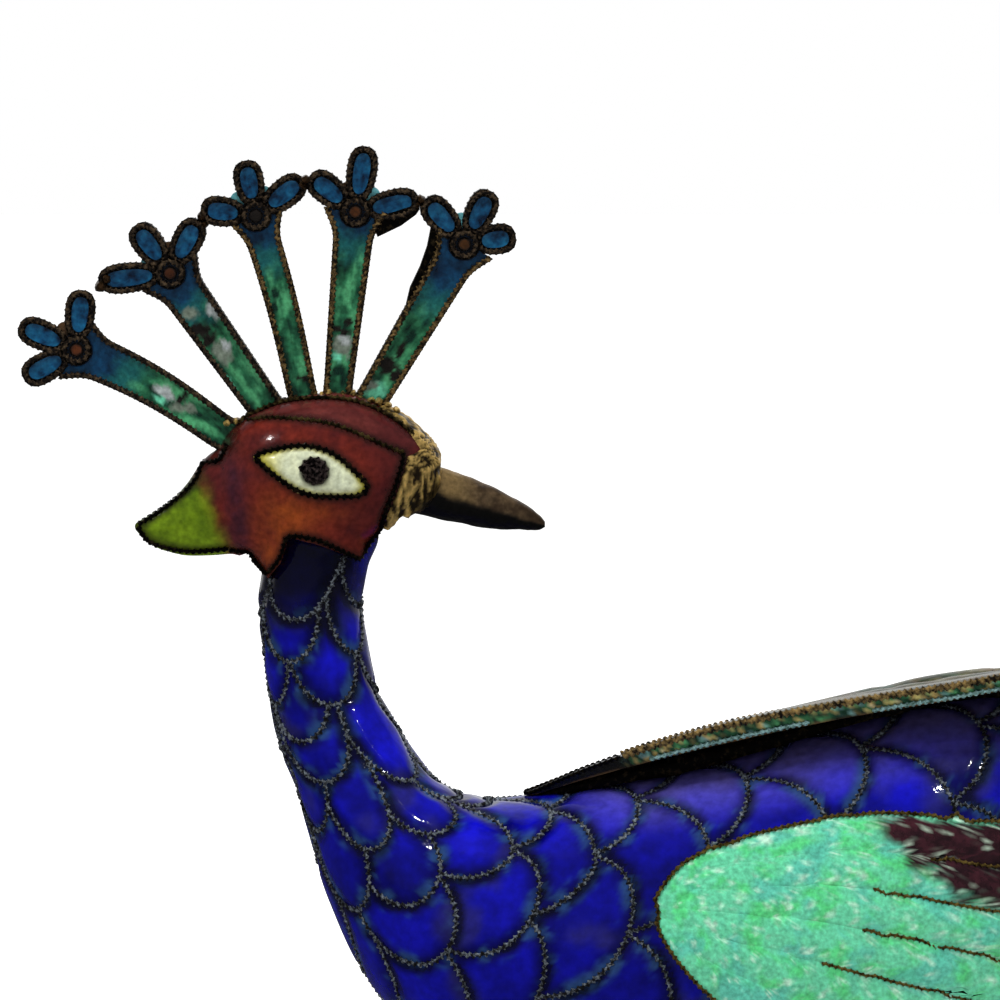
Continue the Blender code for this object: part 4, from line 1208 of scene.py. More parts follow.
def strip_slab(left, right, columns, half_depth, dish):
    """The corners and faces of a plate between two edges, with both faces dished."""
    rows = len(left)
    corners, faces = [], []
    for face in (-1, 1):
        for i in range(rows):
            for j in range(columns + 1):
                v = j / columns
                spot = left[i].lerp(right[i], v)
                spot.y += face * (half_depth - dish * (1 - (2 * v - 1) ** 4))
                corners.append(spot)
    wide = columns + 1
    back = rows * wide
    for i in range(rows - 1):
        for j in range(columns):
            a = i * wide + j
            faces.append((a, a + 1, a + wide + 1, a + wide))
            faces.append((back + a + wide, back + a + wide + 1, back + a + 1, back + a))
    rim = grid_rim(rows, wide)
    faces += [(a, back + a, back + b, b) for a, b in zip(rim, rim[1:] + rim[:1])]
    return corners, faces


DISC_RINGS = (1.0, 0.85, 0.65, 0.45, 0.25)


def disc_slab(outline, half_depth, dish):
    """The corners and faces of a plate with a rounded outline, with both faces dished."""
    count = len(outline)
    middle = sum(outline, Vector()) / count
    corners, faces = [], []
    for face in (-1, 1):
        start = len(corners)
        for share in DISC_RINGS:
            depth = half_depth - dish * (1 - share**4)
            corners += [middle.lerp(p, share) + Vector((0, face * depth, 0)) for p in outline]
        corners.append(middle + Vector((0, face * (half_depth - dish), 0)))
        for ring in range(len(DISC_RINGS) - 1):
            for k in range(count):
                j = (k + 1) % count
                a = start + ring * count
                faces.append((a + k, a + j, a + count + j, a + count + k))
        last = start + (len(DISC_RINGS) - 1) * count
        faces += [(last + k, last + (k + 1) % count, last + count) for k in range(count)]
    back = len(corners) // 2
    faces += [(k, back + k, back + (k + 1) % count, (k + 1) % count) for k in range(count)]
    return corners, faces


def ring_wall(outer, inner, half_depth):
    """The corners and faces of a closed band between two outlines."""
    count = len(outer)
    corners = []
    for line, face in ((outer, -1), (inner, -1), (inner, 1), (outer, 1)):
        corners += [p + Vector((0, face * half_depth, 0)) for p in line]
    faces = []
    for band in range(4):
        a, b = band * count, (band + 1) % 4 * count
        faces += [(a + k, a + (k + 1) % count, b + (k + 1) % count, b + k) for k in range(count)]
    return corners, faces


def patched(colour, px, py, patches, ragged):
    """A colour with the damage at a pixel laid over it, with ragged edges."""
    for x, y, across, down, turn, shade in patches:
        a = math.radians(turn)
        dx, dy = px - x, py - y
        u = (dx * math.cos(a) + dy * math.sin(a)) / across
        v = (-dx * math.sin(a) + dy * math.cos(a)) / down
        colour = blend(colour, shade, smooth_step(1.25, 0.70, math.hypot(u, v) + 0.9 * (ragged - 0.5)))
    return colour


def on_both_faces(outline, depth, place):
    """A path over an outline on the near face of a plume and its twin on the far face."""
    paths = []
    for face in (-1, 1):
        out = place.to_3x3() @ Vector((0, face, 0))
        paths.append([(*(place @ (p + Vector((0, face * depth, 0)))), *out) for p in outline])
    return paths


def three_tones(dark, middle, bright, tone):
    """A colour that runs from dark at 0 through the middle one at one half to bright at 1."""
    return blend(dark, middle, 2 * tone) if tone < 0.5 else blend(middle, bright, 2 * tone - 1)


def ring_round(centre, radius, count=24):
    """A circle of points in the plane of a plume."""
    turns = np.linspace(0, 2 * math.pi, count, False)
    return [centre + Vector((math.cos(a), 0, math.sin(a))) * radius for a in turns]


def petal_outline(top, way, length, inset):
    """The outline of a petal that points away from a plume's top, moved in by an inset."""
    out = Vector((math.cos(way), 0, math.sin(way)))
    aside = Vector((-math.sin(way), 0, math.cos(way)))
    centre = top + out * (PETAL_START + length) / 2 * BODY_LENGTH
    reach = (length - PETAL_START) / 2 * BODY_LENGTH - inset
    wide = PETAL_HALF_WIDTH * BODY_LENGTH - inset
    power = 2 / PETAL_SQUARENESS
    outline = []
    for k in range(PETAL_STEPS):
        a = 2 * math.pi * k / PETAL_STEPS
        c, s = math.cos(a), math.sin(a)
        u = math.copysign(abs(c) ** power, c)
        v = math.copysign(abs(s) ** power, s) * (1 - PETAL_TAPER * (1 - u) / 2)
        outline.append(centre + out * reach * u + aside * wide * v)
    return outline


BROWN, BROWN_WORN = (0.009, 0.006, 0.005), (0.150, 0.100, 0.055)
BRASS_DARK, BRASS_BRIGHT = (0.018, 0.011, 0.005), (0.380, 0.240, 0.085)
brown_wire = old_metal("brown_wire", BROWN, BROWN_WORN, patch=0.34 * MM, metallic=0.5, cut=0.55)
bright_wire = old_metal("bright_wire", BRASS_DARK, BRASS_BRIGHT, patch=0.34 * MM, metallic=0.5, cut=0.54)
plume_glass = painted_material(
    "plume_glass", roughness=0.22, speckle=0.35, speckle_size=0.35 * MM, ripple=0.35, ripple_size=0.5 * MM
)
plumes = zip(PLUMES, BOSS_COLOURS, DAMAGE, BLUE_START)
for number, (row, boss_colour, patches, blue_start) in enumerate(plumes, 1):
    x, z, top_x, top_z, bow, root_width, top_width, lean_degrees, petals = row
    root, top = figure(x, z), figure(top_x, top_z)
    length = (top - root).length
    ahead = (top - root).normalized()
    across = Vector((-ahead.z, 0, ahead.x))
    angle = math.atan2(ahead.z, ahead.x)
    lean_turn = Matrix.Rotation(math.radians(lean_degrees), 4, ahead)
    place = Matrix.Translation(root) @ lean_turn @ Matrix.Translation(-root)
    glass, frame_metal, wires, edge_wires = Parts(), Parts(), [], []
    middles, widths = [], []
    for i in range(PLUME_STEPS + 1):
        reach = -ROOT_DEPTH + i / PLUME_STEPS * (length / BODY_LENGTH + ROOT_DEPTH + 0.002)
        share = max(0.0, reach * BODY_LENGTH / length)
        aside = across * bow * math.sin(math.pi * share)
        middles.append(root + ahead * reach * BODY_LENGTH + aside * BODY_LENGTH)
        flare = FLARE_WIDTH * smooth_step(FLARE_START, FLARE_END, share) ** 1.5
        widths.append((root_width + (top_width - root_width) * share * 0.8 + flare) * BODY_LENGTH)
    edges = {}
    for inset in (STEM_GLASS_INSET, STRIP_OUTER, STRIP_INNER, RIM_INSET):
        for side in (1, -1):
            edges[inset, side] = [m + across * side * (w / 2 - inset) for m, w in zip(middles, widths)]
    left, right = edges[STEM_GLASS_INSET, 1], edges[STEM_GLASS_INSET, -1]
    corners, faces = strip_slab(left, right, PLUME_COLUMNS, GLASS_DEPTH, GLASS_DISH)
    corners = [place @ c for c in corners]
    colours = []
    for c, (px, py) in zip(corners, seen_at(corners)):
        share = (c - root).dot(ahead) / length
        streaked = c + ahead * (c.dot(ahead) * -0.6)
        colour = three_tones(GREEN_DARK, GREEN, GREEN_LIGHT, 1.9 * stain(streaked, 0.9 * MM, number) - 0.45)
        blue = blend(PETAL_BLUE, PETAL_DARK, 0.9 * stain(c, 1.2 * MM, number + 5))
        edge = share + 0.12 * (stain(c, 1.0 * MM, number + 9) - 0.5)
        colour = blend(colour, TEAL, smooth_step(blue_start - 0.20, blue_start - 0.02, edge))
        colour = blend(colour, blue, smooth_step(blue_start - 0.05, blue_start + 0.11, edge))
        colours.append(patched(colour, px, py, patches, stain(c, 0.5 * MM, 20)))
    glass.add(corners, faces, colours)
    for side in (1, -1):
        strip = strip_slab(edges[STRIP_OUTER, side], edges[STRIP_INNER, side], 1, FRAME_DEPTH, dish=0)
        frame_metal.add_plain(strip, BARE_BROWN, place)
        edge_wires += on_both_faces(edges[RIM_INSET, side], FRAME_DEPTH, place)

    for turn, petal_length in petals:
        insets = (PETAL_GLASS_INSET, PETAL_OUTER, PETAL_INNER, RIM_INSET)
        way = angle + math.radians(turn)
        fill, outer, inner, line = (petal_outline(top, way, petal_length, inset) for inset in insets)
        corners, faces = disc_slab(fill, PETAL_GLASS_DEPTH, GLASS_DISH)
        corners = [place @ c for c in corners]
        tones = [1.5 * stain(c, 0.8 * MM, number + turn * 0.1) - 0.25 for c in corners]
        glass.add(corners, faces, [three_tones(PETAL_DARK, PETAL_BLUE, PETAL_LIGHT, tone) for tone in tones])
        frame_metal.add_plain(ring_wall(outer, inner, FRAME_DEPTH), BARE_BROWN, place)
        wires += on_both_faces(line + line[:1], FRAME_DEPTH, place)
    turns = sorted(turn for turn, petal_length in petals)
    for first, second in zip(turns, turns[1:]):
        way = angle + math.radians((first + second) / 2)
        spot = top + Vector((math.cos(way), 0, math.sin(way))) * FILL_PLACE
        ring = ring_round(spot, FILL_RADIUS, FILL_STEPS)
        colour = PALE_TURQUOISE if (number * 3 + first) % 3 else BARE_BROWN
        glass.add_plain(disc_slab(ring, GLASS_DEPTH * 0.75, dish=0.0), colour, place)

    glass.add_plain(disc_slab(ring_round(top, BOSS_DISC), FRAME_DEPTH, dish=0.0), PETAL_DARK, place)
    boss_wall = ring_wall(ring_round(top, BOSS_OUTER), ring_round(top, BOSS_INNER), BOSS_HALF_DEPTH)
    frame_metal.add_plain(boss_wall, BARE_BROWN, place)
    line = ring_round(top, BOSS_RING)
    wires += on_both_faces(line + line[:1], 0.78 * MM, place)
    corners, faces = disc_slab(ring_round(top, BOSS_CORE * 1.35), 0.72 * MM, dish=-0.14 * MM)
    far = [math.hypot(c.x - top.x, c.z - top.z) for c in corners]
    dark = [smooth_step(BOSS_CORE * 0.75, BOSS_CORE * 1.2, distance) for distance in far]
    glass.add([place @ c for c in corners], faces, [blend(boss_colour, BARE_BLACK, share) for share in dark])
    # Painted shade: a black slab where a petal's side wall lies in shade.
    if number in SHADED_SIDE_WALLS:
        wall = disc_slab([flat(*p) for p in SHADED_SIDE_WALLS[number]], FRAME_DEPTH * 0.9, dish=0.0)
        frame_metal.add_plain(wall, BARE_BLACK, place)

    node = f"crest_plume_{number}"
    settle(glass.piece(f"plume_{number}_glass"), node, plume_glass)
    settle(frame_metal.piece(f"plume_{number}_frame"), node, black_wire)
    stem_wire = bright_wire if number > 2 else brown_wire
    stem_edges = twisted_wires(f"plume_{number}_edges", edge_wires, RIM_WIRE_RADIUS, RIM_WIRE_TURN)
    settle(stem_edges, node, stem_wire)
    petal_rims = twisted_wires(f"plume_{number}_rims", wires, RIM_WIRE_RADIUS, RIM_WIRE_TURN, closed=True)
    settle(petal_rims, node, brown_wire)

# Solder drops: lumps of tarnished solder where the petals of neighbouring plumes touch, and along the crown
# where the plumes are fixed to the head.
DROPS = (
    (101, 286, 6, 0), (107, 279, 5, 0), (203, 216, 5, 0), (205, 224, 4, 0), (306, 180, 5, 0),
    (303, 186, 4, 0), (421, 200, 5, 0), (417, 205, 4, 0), (227, 423, 4, 1), (237, 421, 4, 1),
    (285, 400, 3, 0), (296, 397, 3, 0), (322, 394, 3, 1), (329, 392, 4, 1), (343, 393, 3, 1),
    (353, 393, 4, 1), (360, 396, 3, 1), (371, 400, 4, 1), (379, 402, 5, 1), (388, 405, 4, 1),
    (396, 410, 4, 1),
)
DROP_DEPTH = 0.85 * MM


def solder_lump(centre, reach, least=0.85, spread=0.30):
    """The corners and faces of one lump of solder."""
    bm = bmesh.new()
    bmesh.ops.create_icosphere(bm, subdivisions=3, radius=1.0)
    corners = []
    for v in bm.verts:
        rough = least + spread * stain(v.co * MM + centre, 0.9 * MM, 30)
        corners.append(centre + v.co * Vector(reach) * rough)
    faces = [[v.index for v in f.verts] for f in bm.faces]
    bm.free()
    return corners, faces


drops = Parts()
for px, py, size, bright in DROPS:
    radius = size * PIXEL
    corners, faces = solder_lump(flat(px, py), (radius, DROP_DEPTH + 0.35 * radius, radius), 0.72, 0.55)
    shade = GOLD if bright else BARE_BROWN
    drops.add(corners, faces, [blend(GOLD_SHADE, shade, 2 * stain(c, 0.4 * MM, 31) - 0.4) for c in corners])
settle(drops.piece("solder_drops"), None, rough_gold)

# Wings: a copper sheet on each flank, enamelled in speckled mint and turquoise, with a patch of dark purple
# glass run through with pale veins. Twisted wires edge it and part its flight feathers.
WING_TOP = (
    (-0.246, 0.262), (-0.206, 0.300), (-0.124, 0.326), (-0.026, 0.342), (0.090, 0.334), (0.230, 0.312),
    (0.380, 0.280), (0.530, 0.236),
)
WING_BOTTOM = (
    (-0.242, 0.235), (-0.222, 0.205), (-0.190, 0.172), (-0.150, 0.145), (-0.110, 0.124), (-0.070, 0.108),
    (-0.035, 0.097), (0.000, 0.090),
)
WING_THICKNESS = 1.0 * MM
WING_FEATHERS = 6
WING_ROWS = 110
WING_FEATHER_STEPS = 14
WING_TIP_DEPTH = 0.10
WING_FLARE_FRONT = 0.060
WING_FLARE_TIP = 0.112
WING_REAR_BOW = 0.055
FEATHER_RELIEF = 0.30 * MM
SHEET_GAP = 0.3 * MM

MINT = (0.110, 0.520, 0.300)
MINT_PALE = (0.420, 0.680, 0.520)
MINT_GREEN = (0.075, 0.520, 0.180)
MINT_BLUE = (0.080, 0.420, 0.340)
PLUM = (0.008, 0.003, 0.005)
PLUM_RED = (0.038, 0.009, 0.014)
PATCH_PALE = (0.300, 0.380, 0.300)
COPPER_DARK = (0.016, 0.009, 0.005)
COPPER_WORN = (0.130, 0.070, 0.028)
SHEET_EDGE_BANDS = 4
SHEET_SHARP_ANGLE = math.radians(50)
WING_RIM_LINE = ((660, 706, 762, 820, 874, 937, 1000, 1200), (868, 842, 828, 819, 808, 814, 818, 840))
PATCH_LOW_LINE = ((870, 911, 960, 1060, 1200), (828, 862, 900, 930, 900))


def body_hit(spot, way):
    """Where a line that comes in against a direction, through a spot, first meets the body."""
    return body_surface.ray_cast(spot + Vector(way) * BODY_LENGTH, -Vector(way))[0]


def larger(a, b, softness):
    """The larger of two values, with a smooth change from one to the other."""
    return 0.5 * (a + b + math.sqrt((a - b) ** 2 + softness**2))


def thickened(grid, thickness):
    """The same grid moved along its own normals, by a thickness for each row."""
    points = np.array(grid)
    ahead = np.gradient(points, axis=0)
    aside = np.gradient(points, axis=1)
    out = np.cross(ahead, aside)
    out /= np.maximum(np.linalg.norm(out, axis=2, keepdims=True), 1e-12)
    return points + out * np.asarray(thickness).reshape(-1, 1, 1), out


def sheet_piece(name, inner, outer, colour_inner, colour_outer, colour_edge):
    """A closed sheet between two grids, painted on each face and round its edge."""
    rows, columns = outer.shape[:2]
    total = rows * columns
    corners = np.concatenate([inner.reshape(-1, 3), outer.reshape(-1, 3)])
    faces = []
    for r in range(rows - 1):
        for c in range(columns - 1):
            a = r * columns + c
            faces.append((a, a + 1, a + columns + 1, a + columns))
            faces.append((total + a + columns, total + a + columns + 1, total + a + 1, total + a))
    rim = grid_rim(rows, columns)
    count, start = len(rim), len(corners)
    lower, upper = corners[rim], corners[[total + i for i in rim]]
    loops = [rim]
    for band in range(1, SHEET_EDGE_BANDS):
        loops.append(range(len(corners), len(corners) + count))
        corners = np.concatenate([corners, lower + (upper - lower) * band / SHEET_EDGE_BANDS])
    loops.append([total + i for i in rim])
    for below, above in zip(loops, loops[1:]):
        for i in range(count):
            j = (i + 1) % count
            faces.append((below[i], above[i], above[j], below[j]))
    made = new_piece(name, corners, faces)
    outwards(made)
    colours = [colour_inner(Vector(p)) for p in corners[:total]]
    colours += [colour_outer(Vector(p), i % columns) for i, p in enumerate(corners[total:start])]
    colours += [colour_edge(Vector(p)) for p in corners[start:]]
    paint(made, colours)
    made.data.set_sharp_from_angle(angle=SHEET_SHARP_ANGLE)
    return made, rim


def old_copper(spot):
    """The bare underside of a sheet, brown and rubbed."""
    return blend(COPPER_DARK, COPPER_WORN, 1.8 * stain(spot, 1.5 * MM, 40) - 0.5)


def wing_tint(spot, column=None):
    """A wing's speckled mint glass, with its dark patch and the patch's pale veins."""
    px, py = seen_at([spot])[0]
    tone = stain(spot, 0.8 * MM, 41)
    rim = py - np.interp(px, *WING_RIM_LINE)
    colour = blend(MINT, MINT_GREEN, smooth_step(0.45, 0.75, stain(spot, 1.6 * MM, 42)))
    colour = blend(colour, MINT_BLUE, smooth_step(0.50, 0.75, stain(spot, 2.6 * MM, 43)) * 0.7)
    colour = blend(colour, MINT_PALE, smooth_step(0.60, 0.95, tone + 0.20 * smooth_step(24, 4, rim)))
    shift = 30 * (stain(spot, 1.1 * MM, 44) - 0.5)
    low = np.interp(px, *PATCH_LOW_LINE)
    patch = smooth_step(868, 892, px + shift) * smooth_step(low + 10, low - 10, py + shift)
    patch *= smooth_step(3, 9, rim + 0.4 * shift) * smooth_step(1230, 1150, px)
    veins = abs(stain(spot, 0.55 * MM, 45) - 0.5) + 0.5 * abs(stain(spot, 1.9 * MM, 47) - 0.5)
    plum = blend(PLUM, PLUM_RED, 1.8 * stain(spot, 0.9 * MM, 46) - 0.4)
    plum = blend(plum, PATCH_PALE, smooth_step(0.090, 0.030, veins))
    return blend(colour, plum, patch)


WING_SOLDER = ((-0.150, 0.235), (-0.060, 0.215), (0.030, 0.250))
WING_SOLDER_REACH = (1.3 * MM, 0.75 * MM, 1.1 * MM)
WING_DIVIDER_START = 62
turquoise_glass = painted_material(
    "turquoise_glass", roughness=0.20, speckle=0.28, speckle_size=0.35 * MM, ripple=0.30, ripple_size=0.7 * MM
)
GILT_DARK, GILT = (0.050, 0.030, 0.008), (0.480, 0.330, 0.090)
gold_wire = old_metal("gold_wire", GILT_DARK, GILT, patch=0.35 * MM, cut=0.50)


def rim_path(outer, out, rim, lift):
    """The closed path over a sheet's edge."""
    outer, out = outer.reshape(-1, 3)[rim], out.reshape(-1, 3)[rim]
    path = np.hstack([outer + out * lift, out])
    return np.vstack([path, path[:1]])


for side, name in ((-1, "wing_left"), (1, "wing_right")):
    count = WING_FEATHERS * WING_FEATHER_STEPS
    grid = []
    for r in range(WING_ROWS + 1):
        line = []
        for k in range(count + 1):
            v, through = k / count, (k % WING_FEATHER_STEPS) / WING_FEATHER_STEPS
            crown = math.sin(math.pi * through)
            bowed = 1.0 - WING_REAR_BOW * math.sin(math.pi * v)
            u = r / WING_ROWS * (1.0 - WING_TIP_DEPTH * (1.0 - crown)) * bowed
            wing_top, wing_bottom = along(WING_TOP, u), along(WING_BOTTOM, u)
            spot = figure(*(wing_top + (wing_bottom - wing_top) * v))
            hit = body_hit(spot, (0, side, 0))
            flare = (WING_FLARE_FRONT + (WING_FLARE_TIP - WING_FLARE_FRONT) * u) * BODY_LENGTH
            flank = abs(hit.y) + SHEET_GAP if hit else 0.0
            y = larger(flank, flare, 4 * SHEET_GAP) + crown * FEATHER_RELIEF * r / WING_ROWS
            line.append((spot.x, side * y, spot.z))
        grid.append(line if side > 0 else line[::-1])
    inner = np.array(grid)
    outer, out = thickened(inner, np.full(len(grid), WING_THICKNESS))
    wing, rim = sheet_piece(f"{name}_sheet", inner, outer, old_copper, wing_tint, wing_tint)
    settle(wing, name, turquoise_glass)
    paths = [rim_path(outer, out, rim, 0.06 * MM)]
    for feather in range(1, WING_FEATHERS):
        c = feather * WING_FEATHER_STEPS
        first = WING_DIVIDER_START + 4 * (feather % 2)
        paths.append(np.hstack([outer[first:, c], out[first:, c]]))
    settle(twisted_wires(f"{name}_wires", paths, radius=0.22 * MM), name, gold_wire)
    beads = Parts()
    for x, z in WING_SOLDER:
        beads.add_plain(solder_lump(body_hit(figure(x, z), (0, side, 0)), WING_SOLDER_REACH), BARE_BROWN)
    settle(beads.piece(f"{name}_solder"), None, black_wire)

# Train: one long arched sheet of copper under green glass, soldered to the back along its middle. Twisted
# wires part its nine feathers, each ending in an eye of blue, turquoise, rust and lime. A gilt rope runs
# round the edge.
TRAIN_SECTIONS = (
    (-0.373, 0.354, 0.006, 0.000, 0.20),
    (-0.340, 0.369, 0.030, 0.000, 0.50),
    (-0.300, 0.385, 0.050, 0.000, 0.80),
    (-0.240, 0.406, 0.068, 0.000, 1.15),
    (-0.160, 0.428, 0.084, 0.000, 1.35),
    (-0.060, 0.447, 0.102, 0.000, 1.20),
    (0.040, 0.463, 0.120, 0.000, 1.10),
    (0.140, 0.479, 0.138, 0.002, 1.00),
    (0.260, 0.493, 0.158, 0.020, 1.00),
    (0.390, 0.483, 0.184, 0.044, 1.00),
    (0.530, 0.449, 0.214, 0.056, 1.00),
    (0.680, 0.398, 0.250, 0.064, 1.00),
    (0.840, 0.332, 0.290, 0.068, 1.00),
    (1.000, 0.258, 0.326, 0.068, 1.00),
    (1.180, 0.176, 0.352, 0.066, 1.00),
)
TRAIN_THICKNESS = 1.0 * MM
TRAIN_FEATHERS = 9
TRAIN_ROWS = 230
TRAIN_FEATHER_STEPS = 14
TRAIN_END_BOW = 0.13
TRAIN_LEAN = math.radians(4.5)
DIVIDER_START = 112
TRAIN_TIP_DEPTH = 0.040
HEM_ROWS = ((56, 93), (104, 222))
HEM_RISE = 0.20
ROPE_START = -0.280
TRAIN_EYE_BACK = 6.5 * MM
TRAIN_EYE_LENGTH = 4.2 * MM
TRAIN_EYE_WIDTH = 2.2 * MM

TRAIN_GREEN = (0.016, 0.130, 0.045)
TRAIN_DARK = (0.004, 0.030, 0.016)
TRAIN_LIGHT = (0.070, 0.300, 0.110)
ICE_BLUE = (0.260, 0.500, 0.540)
TRAIN_BLACK = (0.004, 0.004, 0.004)
EYE_RINGS = ((0.40, (0.003, 0.005, 0.200)), (0.62, (0.060, 0.420, 0.480)), (0.84, RUST), (1.0, LIME))

count = TRAIN_FEATHERS * TRAIN_FEATHER_STEPS
grid, gauges = [], []
for r in range(TRAIN_ROWS + 1):
    line = []
    for k in range(count + 1):
        v, through = 2 * k / count - 1, (k % TRAIN_FEATHER_STEPS) / TRAIN_FEATHER_STEPS
        crown = math.sin(math.pi * through)
        u = r / TRAIN_ROWS * (1.0 - TRAIN_TIP_DEPTH * (1.0 - crown)) * (1.0 - TRAIN_END_BOW * v * v)
        x, z, half_width, droop, gauge = along(TRAIN_SECTIONS, u)
        lean = math.tan(TRAIN_LEAN) * smooth_step(0.75, 0.48, u)
        under = figure(x, z - droop * v * v - lean * v * half_width, v * half_width)
        under.z -= TRAIN_THICKNESS * gauge
        hit = body_hit(under, (0, 0, 1))
        if hit:
            gap = SHEET_GAP * min(1.0, 0.1 + r / 40)
            under.z = larger(hit.z + gap, under.z, gap)
        under.z += crown * FEATHER_RELIEF * min(1.0, 2 * u)
        line.append(tuple(under))
    grid.append(line)
    gauges.append(TRAIN_THICKNESS * gauge)
train_under = np.array(grid)
train_over, train_out = thickened(train_under, gauges)


def train_tint(spot, column):
    """The train's barred green glass, bare and dark at its root, with an eye near each feather's end."""
    through = (column % TRAIN_FEATHER_STEPS) / TRAIN_FEATHER_STEPS
    barb = 0.5 + 0.5 * math.sin((spot.x * 1000 - abs(through - 0.5) * 6.0) * 3.0)
    tone = 1.0 * stain(spot, 1.6 * MM, 50) - 0.05 + 0.50 * (barb - 0.5)
    colour = three_tones(TRAIN_DARK, TRAIN_GREEN, TRAIN_LIGHT, tone)
    colour = blend(colour, ICE_BLUE, smooth_step(0.62, 0.80, stain(spot, 2.2 * MM, 51)) * 0.4)
    root = smooth_step(0.30, 0.10, spot.x / BODY_LENGTH)
    colour = blend(colour, blend(TRAIN_BLACK, old_copper(spot), 0.80), 0.85 * root)
    colour = blend(colour, TRAIN_BLACK, smooth_step(-0.15, -0.29, spot.x / BODY_LENGTH))
    feather = min(column // TRAIN_FEATHER_STEPS, TRAIN_FEATHERS - 1)
    middle = feather * TRAIN_FEATHER_STEPS + TRAIN_FEATHER_STEPS // 2
    tip = Vector(train_over[-1, middle])
    way = (tip - Vector(train_over[-12, middle])).normalized()
    away = spot - (tip - way * TRAIN_EYE_BACK)
    length = away.dot(way)
    width = (away - way * length).length
    far = math.hypot(length / TRAIN_EYE_LENGTH, width / TRAIN_EYE_WIDTH)
    for reach, shade in reversed(EYE_RINGS):
        colour = blend(colour, shade, smooth_step(reach + 0.03, reach - 0.03, far))
    return colour


def train_edge(spot):
    """The train's edge, green and pale blue with gilt flecks, and black towards the root."""
    px = seen_at([spot])[0][0]
    green = blend(TRAIN_DARK, TRAIN_LIGHT, 2.4 * stain(spot, 0.5 * MM, 53) - 1.15)
    colour = blend(green, ICE_BLUE, 0.4 * smooth_step(0.66, 0.78, stain(spot, 0.6 * MM, 52)))
    colour = blend(colour, GOLD, 0.5 * smooth_step(0.58, 0.72, stain(spot, 0.5 * MM, 54)))
    return blend(TRAIN_BLACK, colour, smooth_step(618, 650, px))


train, train_rim = sheet_piece("train_sheet", train_under, train_over, old_copper, train_tint, train_edge)
green_glass = painted_material(
    "green_glass", roughness=0.20, speckle=0.32, speckle_size=0.35 * MM, ripple=0.32, ripple_size=0.6 * MM
)
settle(train, "train", green_glass)
ROPE_DARK, ROPE_GILT = (0.012, 0.008, 0.004), (0.430, 0.285, 0.100)
rope_wire = old_metal("rope_wire", ROPE_DARK, ROPE_GILT, patch=0.50 * MM, metallic=0.5, cut=0.52)
whole_rim = rim_path(train_over, train_out, train_rim, 0.02 * MM)
rope = [[spot for spot in whole_rim if spot[0] > ROPE_START * BODY_LENGTH]]
tongue = sorted((spot for spot in whole_rim if spot[0] <= ROPE_START * BODY_LENGTH), key=lambda spot: spot[0])
tongue_rims = [[spot for spot in tongue if side * spot[1] >= 0] for side in (-1, 1)]
settle(twisted_wires("tongue_wires", tongue_rims, radius=0.22 * MM), "train", black_wire)
train_rope = twisted_wires("train_rope", rope, radius=0.35 * MM, turn=0.90 * MM)
settle(train_rope, "train", rope_wire)
hems = []
for column in (0, count):
    for first, last in HEM_ROWS:
        hem = train_under[first:last, column] * (1 - HEM_RISE) + train_over[first:last, column] * HEM_RISE
        sideways = np.tile([0, 1 if column else -1, 0], (len(hem), 1))
        hems.append(np.hstack([hem + sideways * 0.10 * MM, sideways]))
HEM_GREEN, HEM_PALE = (0.030, 0.090, 0.060), (0.330, 0.560, 0.560)
ice_wire = old_metal("ice_wire", HEM_GREEN, HEM_PALE, patch=0.35 * MM, metallic=0.2, cut=0.46)
settle(twisted_wires("train_hem", hems, radius=0.24 * MM), "train", ice_wire)
dividers = []
for feather in range(1, TRAIN_FEATHERS):
    c = feather * TRAIN_FEATHER_STEPS
    first = DIVIDER_START + 10 * (feather % 2)
    dividers.append(np.hstack([train_over[first:, c], train_out[first:, c]]))
settle(twisted_wires("train_wires", dividers, radius=0.26 * MM), "train", brown_wire)

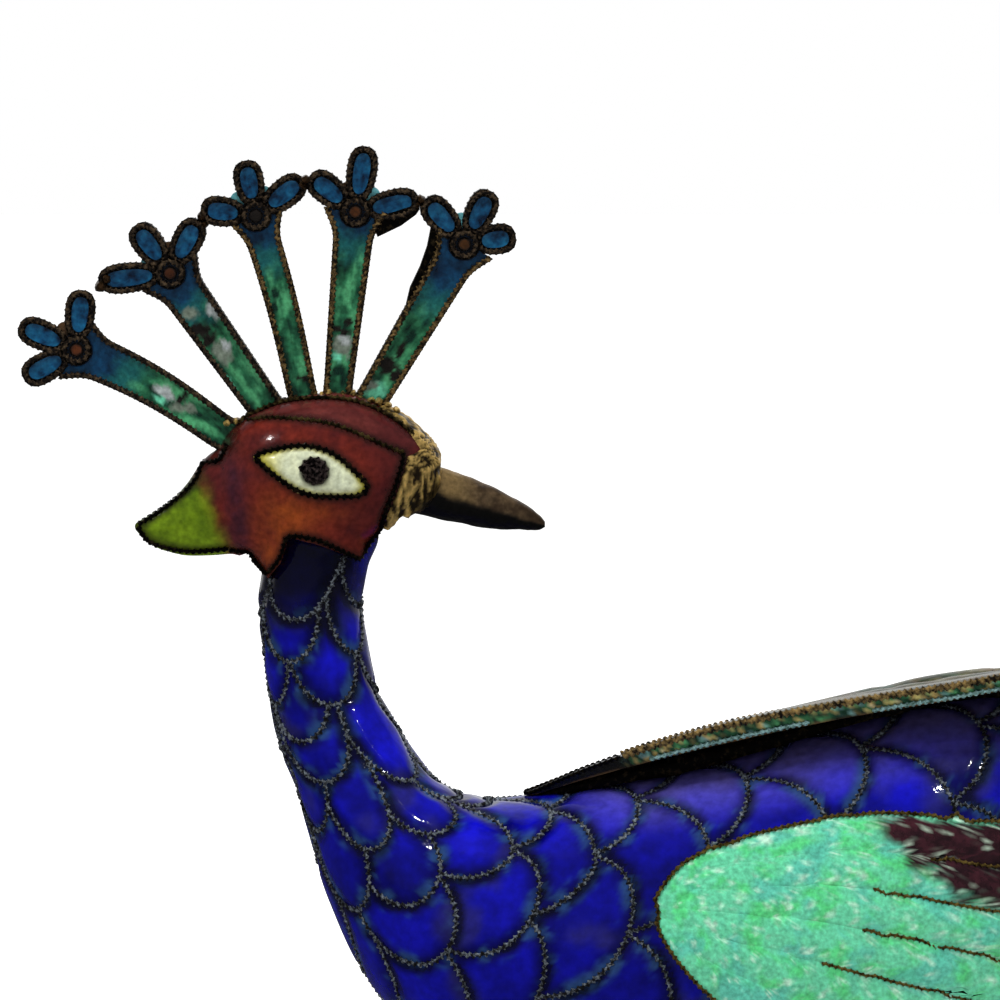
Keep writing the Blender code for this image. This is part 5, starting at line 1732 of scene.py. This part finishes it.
# Seam: the bead of dark solder that holds the train down along the middle of the back. It fills the gap
# between the sheet and the shell, from the train's front end to the rump, and its black is painted shade in
# that gap.
SEAM_START, SEAM_END, SEAM_STEP = 1, 150, 3
SEAM_HALF_WIDTH = 3.2 * MM
SEAM_LAP = 0.2 * MM
seam_corners = []
seam_middle = train_under[:, count // 2]
for r in range(SEAM_START, SEAM_END, SEAM_STEP):
    above = Vector(seam_middle[r]) + Vector((0, 0, SEAM_LAP))
    hit = body_hit(above, (0, 0, 1))
    low = min(hit.z - SEAM_LAP, above.z - SEAM_LAP / 2) if hit else above.z - 2 * SEAM_LAP
    half = min(SEAM_HALF_WIDTH, 0.9 * abs(train_under[r, 0, 1]))
    for y, z in ((-half, low), (half, low), (half * 0.8, above.z), (-half * 0.8, above.z)):
        seam_corners.append(Vector((above.x, y, z)))
seam = new_piece("train_shadow_seam", seam_corners, ring_faces(len(seam_corners) // 4, 4))
outwards(seam)
settle(seam, None, black_wire)

# Legs and base: brass, cast and turned, gone brown. Their shapes are right in the CAD and keep their nodes.
# A small collar of solder covers the joint at the top of each leg and on each foot.
BRASS_BROWN, BRASS_WORN = (0.130, 0.083, 0.035), (0.290, 0.192, 0.078)
FOOT_X = -0.020
LEG_TOP_SOLDER = (2.0 * MM, 2.0 * MM, 0.7 * MM)
FOOT_SOLDER = (1.9 * MM, 1.5 * MM, 0.45 * MM)

old_brass = old_metal("old_brass_finish", BRASS_BROWN, BRASS_WORN, patch=3.0 * MM, cut=0.50)
collars = Parts()
for side, node in ((-1, "leg_left"), (1, "leg_right")):
    spot = figure(HOCK_X, -THIGH_END_DROP, side * LEG_SPACING / 2 / BODY_LENGTH)
    collars.add_plain(solder_lump(spot - Vector((0, 0, THIGH_SETTLE)), LEG_TOP_SOLDER), BARE_BROWN)
    foot = Vector((FOOT_X * BODY_LENGTH, spot.y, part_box(node)[0][2]))
    collars.add_plain(solder_lump(foot, FOOT_SOLDER), BARE_BROWN)
settle(collars.piece("leg_solder"), None, old_brass)
for node in ("leg_left", "leg_right", "base"):
    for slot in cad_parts[node].material_slots:
        slot.material = old_brass
